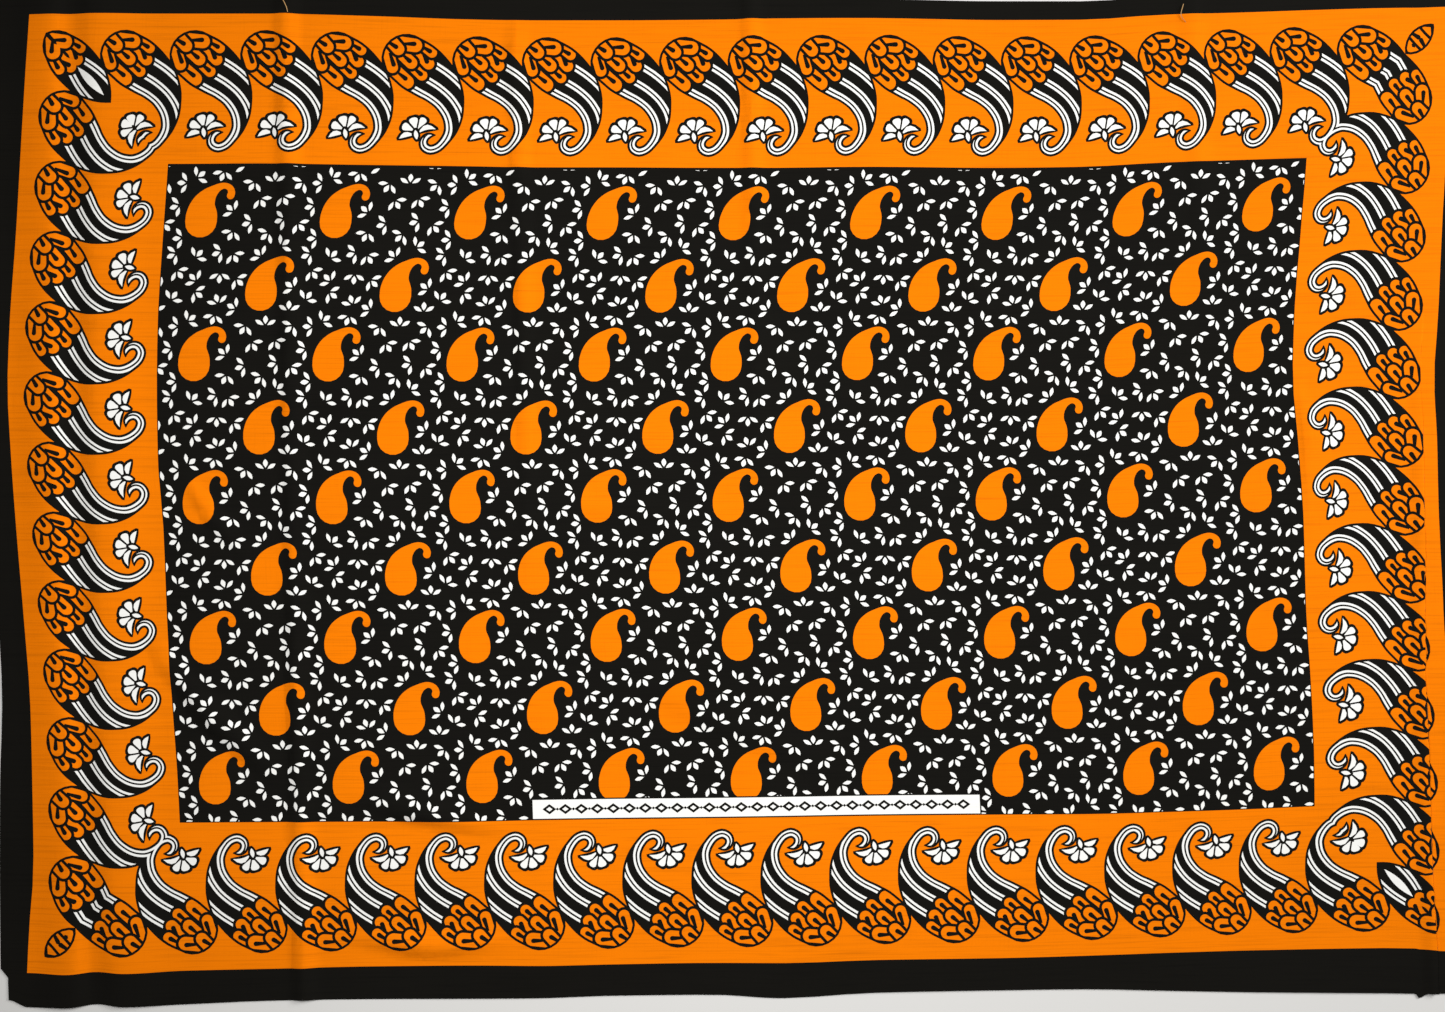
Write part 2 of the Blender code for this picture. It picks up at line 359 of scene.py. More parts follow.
@dataclass(frozen=True)
class Cut:
    """The flat cut of the cloth and the places of the print on it."""
    length: float = 1491.0
    width: float = 1002.0
    top_margin: float = 18.0
    band_length: float = 1431.0
    band_width: float = 948.0
    border_depth: float = 146.0

    @property
    def band_left(self) -> float:
        """The orange band's left side."""
        return -self.band_length / 2.0

    @property
    def band_right(self) -> float:
        """The orange band's right side."""
        return self.band_length / 2.0

    @property
    def band_top(self) -> float:
        """The orange band's top side."""
        return self.width / 2.0 - self.top_margin

    @property
    def band_bottom(self) -> float:
        """The orange band's bottom side."""
        return self.band_top - self.band_width

    @property
    def field_left(self) -> float:
        """The dark field's left side."""
        return self.band_left + self.border_depth

    @property
    def field_right(self) -> float:
        """The dark field's right side."""
        return self.band_right - self.border_depth

    @property
    def field_top(self) -> float:
        """The dark field's top side."""
        return self.band_top - self.border_depth

    @property
    def field_bottom(self) -> float:
        """The dark field's bottom side."""
        return self.band_bottom + self.border_depth


def eased(share: np.ndarray) -> np.ndarray:
    """Return shares from 0 to 1 with soft ends."""
    return share * share * (3.0 - 2.0 * share)


def smooth_line(places: Sequence[float], values: Sequence[float], at: np.ndarray) -> np.ndarray:
    """Read a smooth line through knots, without overshooting any of them.

    Args:
        places: The knots' places, rising.
        values: The knots' values.
        at: Where to read the line; past the ends it keeps the end's value.

    Returns:
        The line's values.
    """
    x = np.asarray(places, dtype=float)
    y = np.asarray(values, dtype=float)
    step = np.diff(x)
    rise = np.diff(y) / step
    slope = np.zeros_like(y)
    same = rise[:-1] * rise[1:] > 0.0
    total = np.where(same, rise[:-1] + rise[1:], 1.0)
    slope[1:-1] = np.where(same, 2.0 * rise[:-1] * rise[1:] / total, 0.0)
    at = np.clip(at, x[0], x[-1])
    low = np.clip(np.searchsorted(x, at) - 1, 0, len(x) - 2)
    t = (at - x[low]) / step[low]
    t2, t3 = t * t, t * t * t
    return (
        (2.0 * t3 - 3.0 * t2 + 1.0) * y[low]
        + (t3 - 2.0 * t2 + t) * step[low] * slope[low]
        + (3.0 * t2 - 2.0 * t3) * y[low + 1]
        + (t3 - t2) * step[low] * slope[low + 1]
    )


@dataclass(frozen=True)
class Laying:
    """How the flat cut lies on the floor: its stretch, folds, wrinkles and tuck."""
    cut: Cut = field(default_factory=Cut)
    paisley_marks: tuple[float, float, float] = (-261.1, 3.1, 399.4)
    paisley_height: float = 7.4
    head_line: float = 649.5
    thickness: float = 0.5
    tuck_rise: float = 2.5
    tuck_ramp: float = 15.0
    slack: float = 0.35
    probe: float = 0.1

    def across(self, u: np.ndarray, v: np.ndarray) -> np.ndarray:
        """Return the laid x of flat points, with the tuck still open."""
        marks = (
            -self.cut.length / 2.0, self.cut.band_left, self.cut.field_left,
            *self.paisley_marks,
            self.cut.field_right, self.head_line, self.cut.band_right, self.cut.length / 2.0,
        )
        places = [row.v for row in LAID_COLUMNS]
        lines = [
            smooth_line(places, [row[index] for row in LAID_COLUMNS], v)
            for index in range(1, len(marks) + 1)
        ]
        return self._between(marks, lines, u)

    def upward(self, u: np.ndarray, v: np.ndarray) -> np.ndarray:
        """Return the laid y of flat points."""
        marks = (
            -self.cut.width / 2.0, self.cut.band_bottom, self.cut.field_bottom,
            self.paisley_height, self.cut.field_top, self.cut.band_top, self.cut.width / 2.0,
        )
        places = [row.u for row in LAID_ROWS]
        lines = [
            smooth_line(places, [row[index] for row in LAID_ROWS], u)
            for index in range(1, len(marks) + 1)
        ]
        return self._between(marks, lines, v)

    @staticmethod
    def _between(marks: Sequence[float], lines: Sequence[np.ndarray], at: np.ndarray) -> np.ndarray:
        """Return values read straight between neighbouring lines."""
        stack = np.array(lines)
        marks = np.array(marks)
        low = np.clip(np.searchsorted(marks, at) - 1, 0, len(marks) - 2)
        share = (at - marks[low]) / (marks[low + 1] - marks[low])
        index = np.arange(len(at))
        return stack[low, index] * (1.0 - share) + stack[low + 1, index] * share

    def lift(self, x: np.ndarray, y: np.ndarray) -> np.ndarray:
        """Return how high the creases, the wrinkles and the slack lift laid points."""
        height = np.zeros_like(x)
        for crease in CREASES:
            knots = (crease.bottom_y, crease.middle_y, crease.top_y)
            crest = np.interp(y, knots, (crease.bottom_x, crease.middle_x, crease.top_x))
            peaks = (crease.bottom_height, crease.middle_height, crease.top_height)
            peak = smooth_line(knots, peaks, y)
            peak = np.where((y < knots[0]) | (y > knots[-1]), 0.0, peak)
            reach = np.where(x < crest, crease.left_reach, crease.right_reach)
            flank = np.clip(1.0 - np.abs(x - crest) / reach, 0.0, 1.0)
            height = np.maximum(height, peak * eased(flank))
        for wrinkle in WRINKLES:
            knots = (wrinkle.start_x, wrinkle.middle_x, wrinkle.end_x)
            crest = smooth_line(knots, (wrinkle.start_y, wrinkle.middle_y, wrinkle.end_y), x)
            swell = eased(np.interp(x, knots, (0.0, 1.0, 0.0), left=0.0, right=0.0))
            reach = np.where(y > crest, wrinkle.reach_above, wrinkle.reach_below)
            flank = np.clip(1.0 - np.abs(y - crest) / reach, 0.0, 1.0)
            height = np.maximum(height, wrinkle.height * swell * eased(flank))
        waves = (
            np.sin(x / 61.0 + 1.3 * np.sin(y / 97.0))
            * np.sin(y / 53.0 + 0.9 * np.sin(x / 83.0) + 0.7)
        )
        return height + self.slack * (1.0 + waves)

    def place(self, u: np.ndarray, v: np.ndarray) -> np.ndarray:
        """Return the laid underside of the cloth at flat points, as rows of x, y and z."""
        places = [station.v for station in TUCK]
        fold = smooth_line(places, [station.fold_u for station in TUCK], v)
        hidden = smooth_line(places, [station.hidden for station in TUCK], v)
        depth = np.maximum(hidden, 1e-6)
        way = np.clip((u - fold) / depth, 0.0, 1.0)
        inside = (u > fold) & (u < fold + hidden)
        flat_u = np.where(inside, fold, u)
        x = self.across(flat_u, v)
        x = x - np.where(u >= fold + hidden, hidden, 0.0)
        x = x - np.where(inside, 0.5 * hidden * np.sin(np.pi * way), 0.0)
        y = self.upward(u, v)
        rise = self.tuck_rise * np.clip(hidden / 5.0, 0.0, 1.0)
        ramp = np.clip(1.0 - (fold - 0.5 * hidden - u) / self.tuck_ramp, 0.0, 1.0)
        z = np.where(u <= fold, rise * eased(ramp), rise * (1.0 - way))
        return np.column_stack((x, y, z + self.lift(x, y)))

    def normals(self, u: np.ndarray, v: np.ndarray) -> np.ndarray:
        """Return the directions that the printed side faces at flat points."""
        probe = self.probe
        along = self.place(u + probe, v) - self.place(u - probe, v)
        up = self.place(u, v + probe) - self.place(u, v - probe)
        normal = np.cross(along, up)
        length = np.linalg.norm(normal, axis=1, keepdims=True)
        return normal / np.maximum(length, 1e-12)

    def flat_of(self, x: float, y: float) -> Point:
        """Return the flat point that lies at a laid place, found by stepping towards it."""
        u, v = np.array([x], dtype=float), np.array([y], dtype=float)
        for _ in range(8):
            u = u + x - self.across(u, v)
            v = v + y - self.upward(u, v)
        return float(u[0]), float(v[0])


class Patch(NamedTuple):
    """A rectangle of the cut that a wrinkle crosses, where the cloth is sliced finer."""
    left: float
    bottom: float
    right: float
    top: float


@dataclass
class Slicing:
    """The straight cuts that let a flat mesh bend: close together where the cloth curves."""
    laying: Laying
    open_step: float = 30.0
    crease_step: float = 5.5
    ramp_step: float = 3.0
    tuck_step: float = 1.0
    patch_columns: float = 8.0
    patch_rows: float = 5.0
    least_gap: float = 0.8
    patches: list[Patch] = field(init=False)
    columns: list[float] = field(init=False)
    rows: list[float] = field(init=False)

    def __post_init__(self) -> None:
        """Work out every cut once."""
        cut = self.laying.cut
        self.patches = [self._patch(wrinkle) for wrinkle in WRINKLES]
        self.columns = self._spaced(cut.length / 2.0, self._crease_columns())
        self.rows = self._spaced(cut.width / 2.0, set())

    def _patch(self, wrinkle: Wrinkle) -> Patch:
        """Return the rectangle of the cut that a wrinkle lifts."""
        start = self.laying.flat_of(wrinkle.start_x, wrinkle.start_y)
        middle = self.laying.flat_of(wrinkle.middle_x, wrinkle.middle_y)
        end = self.laying.flat_of(wrinkle.end_x, wrinkle.end_y)
        heights = (start[1], middle[1], end[1])
        return Patch(
            start[0], min(heights) - wrinkle.reach_below,
            end[0], max(heights) + wrinkle.reach_above,
        )

    def _crease_columns(self) -> set[float]:
        """Return the upright cuts that the creases and the tuck need."""
        places: set[float] = set()
        for crease in CREASES:
            crests = [
                self.laying.flat_of(x, y)[0]
                for x, y in (
                    (crease.top_x, crease.top_y),
                    (crease.middle_x, crease.middle_y),
                    (crease.bottom_x, crease.bottom_y),
                )
            ]
            low = min(crests) - crease.left_reach
            high = max(crests) + crease.right_reach
            places |= set(np.arange(low, high, self.crease_step))
        fold = min(station.fold_u for station in TUCK)
        far = max(station.fold_u + station.hidden for station in TUCK)
        places |= set(np.arange(fold - self.laying.tuck_ramp, fold - 1.0, self.ramp_step))
        places |= set(np.arange(fold - 1.0, far + 1.0, self.tuck_step))
        return places

    def _spaced(self, half: float, places: set[float]) -> list[float]:
        """Return all the cuts one way, sorted, none closer together than the least gap."""
        level = half < self.laying.cut.length / 2.0
        places = places | set(np.arange(self.open_step - half, half, self.open_step))
        for patch in self.patches:
            places |= {patch.bottom, patch.top} if level else {patch.left, patch.right}
        kept: list[float] = []
        for place in sorted(places):
            if abs(place) < half - self.least_gap:
                if not kept or place - kept[-1] > self.least_gap:
                    kept.append(float(place))
        return kept

    def slice(self, mesh: bmesh.types.BMesh) -> None:
        """Cut a flat mesh along every column and row, and finer still in the patches."""
        if not mesh.verts:
            return
        us = [vert.co.x for vert in mesh.verts]
        vs = [vert.co.y for vert in mesh.verts]
        span = Patch(min(us), min(vs), max(us), max(vs))
        for u in self.columns:
            if span.left < u < span.right:
                cut_across(mesh, mesh.faces[:], (u, 0.0), (1.0, 0.0))
        for v in self.rows:
            if span.bottom < v < span.top:
                cut_across(mesh, mesh.faces[:], (0.0, v), (0.0, 1.0))
        for patch in self.patches:
            apart = (
                patch.right < span.left or patch.left > span.right
                or patch.top < span.bottom or patch.bottom > span.top
            )
            if not apart:
                self.slice_patch(mesh, patch)

    def slice_patch(self, mesh: bmesh.types.BMesh, patch: Patch) -> None:
        """Cut the faces in one patch along close columns and rows."""
        near = []
        for face in mesh.faces:
            middle = face.calc_center_median()
            if patch.left < middle.x < patch.right and patch.bottom < middle.y < patch.top:
                near.append(face)
        for u in np.arange(patch.left + self.patch_columns, patch.right, self.patch_columns):
            near = cut_across(mesh, near, (float(u), 0.0), (1.0, 0.0))
        for v in np.arange(patch.bottom + self.patch_rows, patch.top, self.patch_rows):
            near = cut_across(mesh, near, (0.0, float(v)), (0.0, 1.0))


def cut_across(
    mesh: bmesh.types.BMesh, faces: list[bmesh.types.BMFace], through: Point, normal: Point
) -> list[bmesh.types.BMFace]:
    """Cut faces along a straight line and return them with the new ones."""
    if not faces:
        return faces
    edges = {edge for face in faces for edge in face.edges}
    verts = {vert for face in faces for vert in face.verts}
    result = bmesh.ops.bisect_plane(
        mesh,
        geom=[*verts, *edges, *faces],
        dist=1e-4,
        plane_co=(*through, 0.0),
        plane_no=(*normal, 0.0),
    )
    return [item for item in result["geom"] if isinstance(item, bmesh.types.BMFace)]


def keep_side(mesh: bmesh.types.BMesh, through: Point, outward: Point) -> None:
    """Cut a flat mesh along a line and drop what lies on the outward side of it."""
    bmesh.ops.bisect_plane(
        mesh,
        geom=[*mesh.verts, *mesh.edges, *mesh.faces],
        dist=1e-4,
        plane_co=(*through, 0.0),
        plane_no=(*outward, 0.0),
        clear_outer=True,
    )


def drop_box(mesh: bmesh.types.BMesh, left: float, bottom: float, right: float, top: float) -> None:
    """Cut a rectangle out of a flat mesh."""
    for through, normal in (
        ((left, 0.0), (1.0, 0.0)), ((right, 0.0), (1.0, 0.0)),
        ((0.0, bottom), (0.0, 1.0)), ((0.0, top), (0.0, 1.0)),
    ):
        cut_across(mesh, mesh.faces[:], through, normal)
    inside = [
        face for face in mesh.faces
        if left < face.calc_center_median().x < right
        and bottom < face.calc_center_median().y < top
    ]
    bmesh.ops.delete(mesh, geom=inside, context="FACES")


class LaidForm:
    """The laid cloth as flat triangles that know their place on the floor.

    Every piece of the print is laid by the triangle that it lies in, so it stays a hair
    above the cloth wherever the cloth bends.
    """

    def __init__(self, laying: Laying, slicing: Slicing) -> None:
        """Slice the whole cut and lay its corners."""
        self.laying = laying
        self.slicing = slicing
        self.flat = self._sliced_cut()
        self.tree = BVHTree.FromBMesh(self.flat)
        self.corners = np.array([[vert.index for vert in face.verts] for face in self.flat.faces])
        self.places = np.array([vert.co[:2] for vert in self.flat.verts])
        self.underside = laying.place(self.places[:, 0], self.places[:, 1])
        self.normals = laying.normals(self.places[:, 0], self.places[:, 1])

    def _sliced_cut(self) -> bmesh.types.BMesh:
        """Return the whole cut, sliced and made triangles."""
        cut = self.laying.cut
        columns = [-cut.length / 2.0, *self.slicing.columns, cut.length / 2.0]
        rows = [-cut.width / 2.0, *self.slicing.rows, cut.width / 2.0]
        flat = bmesh.new()
        bmesh.ops.create_grid(
            flat, x_segments=len(columns) - 1, y_segments=len(rows) - 1, size=0.5
        )
        for vert in flat.verts:
            column = round((vert.co.x + 0.5) * (len(columns) - 1))
            row = round((vert.co.y + 0.5) * (len(rows) - 1))
            vert.co = (columns[column], rows[row], 0.0)
        for patch in self.slicing.patches:
            self.slicing.slice_patch(flat, patch)
        self._triangulate(flat)
        return flat

    def _triangulate(self, flat: bmesh.types.BMesh) -> None:
        """Split every face so that its diagonal is the lower of the two when laid.

        A flat shape that crosses such a diagonal bridges it and never sinks.
        """
        flat.verts.index_update()
        places = np.array([vert.co[:2] for vert in flat.verts])
        height = self.laying.place(places[:, 0], places[:, 1])[:, 2]
        first, second = [], []
        for face in flat.faces:
            if len(face.verts) == 4:
                a, b, c, d = (height[vert.index] for vert in face.verts)
                (first if a + c <= b + d else second).append(face)
        bmesh.ops.triangulate(flat, faces=first, quad_method="FIXED")
        bmesh.ops.triangulate(flat, faces=second, quad_method="ALTERNATE")
        bmesh.ops.triangulate(flat, faces=flat.faces[:])
        for sequence in (flat.verts, flat.faces):
            sequence.index_update()
            sequence.ensure_lookup_table()

    def surface(self, u: np.ndarray, v: np.ndarray, clearance: np.ndarray) -> np.ndarray:
        """Return laid points that lie a clearance above the cloth's underside.

        Args:
            u: Flat places along the cut.
            v: Flat places up the cut.
            clearance: Distance out of the printed side, in millimetres.

        Returns:
            Rows of x, y and z in millimetres.
        """
        faces = np.array([self.tree.find_nearest((x, y, 0.0))[2] for x, y in zip(u, v)])
        corners = self.corners[faces]
        a, b, c = (self.places[corners[:, number]] for number in range(3))
        point = np.column_stack((u, v))
        whole = self._doubled_area(a, b, c)
        shares = np.column_stack((
            self._doubled_area(point, b, c) / whole,
            self._doubled_area(a, point, c) / whole,
            self._doubled_area(a, b, point) / whole,
        ))
        under = np.einsum("ij,ijk->ik", shares, self.underside[corners])
        normal = np.einsum("ij,ijk->ik", shares, self.normals[corners])
        return under + normal * clearance[:, None]

    @staticmethod
    def _doubled_area(a: np.ndarray, b: np.ndarray, c: np.ndarray) -> np.ndarray:
        """Return twice the signed area of flat triangles."""
        return (
            (b[:, 0] - a[:, 0]) * (c[:, 1] - a[:, 1])
            - (c[:, 0] - a[:, 0]) * (b[:, 1] - a[:, 1])
        )


def curve_through(points: np.ndarray, steps: int) -> np.ndarray:
    """Return a smooth open curve through rows of values, some steps from each to the next."""
    padded = np.vstack((2.0 * points[0] - points[1], points, 2.0 * points[-1] - points[-2]))
    t = np.linspace(0.0, 1.0, steps, endpoint=False)[:, None]
    runs = []
    for before, start, end, after in zip(padded, padded[1:], padded[2:], padded[3:]):
        runs.append(0.5 * (
            2.0 * start
            + (end - before) * t
            + (2.0 * before - 5.0 * start + 4.0 * end - after) * t ** 2
            + (3.0 * start - before - 3.0 * end + after) * t ** 3
        ))
    return np.vstack((*runs, points[-1:]))


@dataclass(frozen=True)
class Sweep:
    """A curled shape drawn from its middle line and its half widths."""
    stations: tuple[Station, ...]
    steps: int = 3
    cap_steps: int = 12

    def line(self) -> tuple[np.ndarray, np.ndarray, np.ndarray]:
        """Return the middle line, its right-hand normals and the half widths."""
        dense = curve_through(np.array(self.stations), self.steps)
        heading = np.gradient(dense[:, :2], axis=0)
        heading /= np.linalg.norm(heading, axis=1, keepdims=True)
        return dense[:, :2], np.column_stack((-heading[:, 1], heading[:, 0])), dense[:, 2]

    def outline(self, inset: float = 0.0) -> list[Point]:
        """Return the closed outline, drawn in by an inset, with both ends rounded."""
        middle, normal, half = self.line()
        half = np.maximum(half - inset, 0.05)
        right = middle + normal * half[:, None]
        left = middle - normal * half[:, None]
        end_cap = self._cap(middle[-1], normal[-1], half[-1])
        start_cap = self._cap(middle[0], -normal[0], half[0])
        ring = [*right, *end_cap, *left[::-1], *start_cap]
        return [(float(point[0]), float(point[1])) for point in ring]

    def _cap(self, centre: np.ndarray, normal: np.ndarray, radius: float) -> list[np.ndarray]:
        """Return the points of a half circle that turns from the normal to its opposite."""
        if radius < 1.0:
            return []
        start = math.atan2(normal[1], normal[0])
        turns = [-math.pi * step / self.cap_steps for step in range(1, self.cap_steps)]
        return [
            centre + radius * np.array((math.cos(start + turn), math.sin(start + turn)))
            for turn in turns
        ]

    def stripe(
        self, near: float, width: float, span: tuple[int, int], drift: float
    ) -> list[Point]:
        """Return a stripe that runs along the right-hand edge.

        Args:
            near: Distance of its near side from that edge, at its start.
            width: Its width.
            span: First and last step of the middle line that it runs between.
            drift: How much nearer to that edge it has come by its end.

        Returns:
            The stripe's closed outline.
        """
        first, last = span
        middle, normal, half = (values[first:last] for values in self.line())
        closer = near - drift * np.linspace(0.0, 1.0, len(half)) ** 2
        inner = middle + normal * (half - closer)[:, None]
        outer = middle + normal * (half - closer - width)[:, None]
        return [(float(point[0]), float(point[1])) for point in (*inner, *outer[::-1])]


@dataclass(frozen=True)
class InkShape:
    """A closed outline of the print and its ink; within names a mask it is kept inside."""
    ink: Optional[Ink]
    outline: list[Point]
    within: Optional[int] = None


class InkPlate:
    """Shapes drawn one over the other, then cut apart so that no two inks overlap."""

    def __init__(self) -> None:
        """Start with no shapes."""
        self.shapes: list[InkShape] = []

    def draw(
        self, ink: Optional[Ink], outline: Sequence[Point], within: Optional[int] = None
    ) -> int:
        """Draw a shape over those before it and return its number."""
        ring = list(outline)
        turning = sum(
            start[0] * end[1] - end[0] * start[1] for start, end in zip(ring, ring[1:] + ring[:1])
        )
        self.shapes.append(InkShape(ink, ring if turning > 0.0 else ring[::-1], within))
        return len(self.shapes) - 1

    def printed(self, ground: int) -> dict[Ink, bmesh.types.BMesh]:
        """Cut the drawing apart along every outline.

        Args:
            ground: Number of the shape outside which nothing is kept.

        Returns:
            One flat mesh for each ink.
        """
        points: list[Vector] = []
        loops: list[list[int]] = []
        for shape in self.shapes:
            first = len(points)
            points += [Vector(point) for point in shape.outline]
            loops.append(list(range(first, len(points))))
        verts, _, faces, _, _, origins = delaunay_2d_cdt(points, [], loops, 1, 1e-4, True)
        meshes = {ink: bmesh.new() for ink in Ink}
        made: dict[Ink, dict[int, bmesh.types.BMVert]] = {ink: {} for ink in Ink}
        for loop, owners in zip(faces, origins):
            ink = self._top_ink(set(owners), ground)
            if ink is None:
                continue
            mesh, known = meshes[ink], made[ink]
            corners = []
            for index in loop:
                if index not in known:
                    known[index] = mesh.verts.new((verts[index].x, verts[index].y, 0.0))
                corners.append(known[index])
            mesh.faces.new(corners)
        return meshes

    def _top_ink(self, owners: set[int], ground: int) -> Optional[Ink]:
        """Return the ink of the topmost shape that covers a face, if the ground does too."""
        if ground not in owners:
            return None
        for number in sorted(owners, reverse=True):
            shape = self.shapes[number]
            if shape.ink and (shape.within is None or shape.within in owners):
                return shape.ink
        return None


def moved(outline: Sequence[Point], by: float) -> list[Point]:
    """Return an outline moved along the border."""
    return [(along + by, across) for along, across in outline]


def rectangle(left: float, bottom: float, right: float, top: float) -> list[Point]:
    """Return a rectangle's outline."""
    return [(left, bottom), (right, bottom), (right, top), (left, top)]


def lens(
    root: Point, heading: float, start: float, length: float, width: float,
    profile: Sequence[Point] = LEAF_PROFILE,
) -> list[Point]:
    """Return the outline of a pointed leaf.

    Args:
        root: The point that the leaf grows from.
        heading: Where its tip points, in degrees.
        start: Distance of its base from the root.
        length: Its length.
        width: Its greatest width.
        profile: Shares of the width at shares of the length, from its base to its tip.

    Returns:
        Its closed outline, turning to the left.
    """
    cos, sin = math.cos(math.radians(heading)), math.sin(math.radians(heading))
    ring = [(share, -bulge) for share, bulge in profile]
    ring += [(share, bulge) for share, bulge in profile[-2:0:-1]]
    points = []
    for share, bulge in ring:
        ahead, aside = start + share * length, bulge * width / 2.0
        points.append((root[0] + ahead * cos - aside * sin, root[1] + ahead * sin + aside * cos))
    return points


@dataclass(frozen=True)
class BorderMotif:
    """The border's curled motif: a striped horn with a feathered head, and a fan flower.

    It is drawn in the border's own frame: along from the curl, and across from the
    band's outer side towards the field.
    """
    line: float = 2.9
    edge: float = 2.4
    horn: Sweep = field(default_factory=lambda: Sweep(HORN))
    stripe_pairs: tuple[tuple[float, int, int, float], ...] = (
        (2.2, 5, 49, 0.0), (17.0, 5, 28, 2.6), (33.8, 4, 18, 2.6),
    )
    stripe: float = 2.35
    stripe_line: float = 1.75
    bud: tuple[Point, float, float, float] = ((-15.4, 120.2), 102.0, 9.6, 4.2)
    core: tuple[Point, float, float, float] = ((-18.8, 118.6), -78.0, 11.0, 6.4)

    def draw(self, plate: InkPlate, by: float) -> None:
        """Draw the whole motif on a plate, moved along the border."""
        plate.draw(Ink.BLACK, moved(self.horn.outline(), by))
        inside = plate.draw(None, moved(self.horn.outline(self.edge), by))
        for near, first, last, drift in self.stripe_pairs:
            for offset in (near, near + self.stripe + self.stripe_line):
                outline = self.horn.stripe(offset, self.stripe, (first, last), drift)
                plate.draw(Ink.WHITE, moved(outline, by), inside)
        for feather in FEATHERS:
            self._draw_feather(plate, feather, by, inside)
        for petal in PETALS:
            plate.draw(Ink.BLACK, moved(self._petal(petal, self.line * 0.9), by))
        plate.draw(Ink.BLACK, moved(self._tongue(*self.core), by))
        for petal in PETALS:
            plate.draw(Ink.WHITE, moved(self._petal(petal, 0.0), by))
        root, heading, length, width = self.bud
        bud = Petal(*root, heading, length, width, 0.0, True)
        plate.draw(Ink.BLACK, moved(self._petal(bud, self.line * 0.8), by))
        plate.draw(Ink.WHITE, moved(self._petal(bud, 0.0), by))

    def _draw_feather(self, plate: InkPlate, feather: Feather, by: float, inside: int) -> None:
        """Draw one scale of the head: its outline, its orange and its black slit."""
        start = (feather.along, feather.across)
        for ink, inset in ((Ink.BLACK, 0.0), (Ink.ORANGE, self.line)):
            length, width = feather.length - inset, feather.width - 2.0 * inset
            outline = self._tongue(start, feather.heading, length, width)
            plate.draw(ink, moved(outline, by), inside)
        plate.draw(Ink.BLACK, moved(self._slit(feather), by), inside)

    @staticmethod
    def _tongue(start: Point, heading: float, length: float, width: float) -> list[Point]:
        """Return a tongue with a round tip, open towards its base."""
        half = width / 2.0
        straight = length - half
        local = [(0.0, -half)]
        local += [
            (straight + half * math.cos(turn), half * math.sin(turn))
            for turn in np.linspace(-math.pi * 0.5, math.pi * 0.5, 11)
        ]
        local.append((0.0, half))
        return BorderMotif._turned(*start, heading, local)

    @staticmethod
    def _slit(feather: Feather, narrow: float = 1.3, end: float = 2.35) -> list[Point]:
        """Return a drop that widens from its narrow start to its round end."""
        straight = feather.slit_length - end
        local = [(0.0, -narrow)]
        local += [
            (straight + end * math.cos(turn), end * math.sin(turn))
            for turn in np.linspace(-1.8, 1.8, 8)
        ]
        local.append((0.0, narrow))
        return BorderMotif._turned(
            feather.slit_along, feather.slit_across, feather.slit_heading, local
        )

    @staticmethod
    def _petal(petal: Petal, rim: float) -> list[Point]:
        """Return a petal's outline, widened all round by a rim."""
        profile = LENS_PROFILE if petal.pointed else PETAL_PROFILE
        upper, lower = [], []
        for share, bulge in profile:
            middle = share * petal.length + (2.0 * share - 1.0) * rim
            rise = petal.bend * 4.0 * share * (1.0 - share)
            half = bulge * (petal.width / 2.0 + rim) + (1.0 - bulge) * rim * 0.5
            upper.append((middle, -rise - half))
            lower.append((middle, -rise + half))
        turned = -petal.heading
        return BorderMotif._turned(petal.along, petal.across, turned, upper + lower[::-1])

    @staticmethod
    def _turned(
        along: float, across: float, heading: float, local: Sequence[Point]
    ) -> list[Point]:
        """Return local points turned to a heading and moved to their start."""
        turn = math.radians(heading)
        cos, sin = math.cos(turn), math.sin(turn)
        return [(along + x * cos - y * sin, across + x * sin + y * cos) for x, y in local]


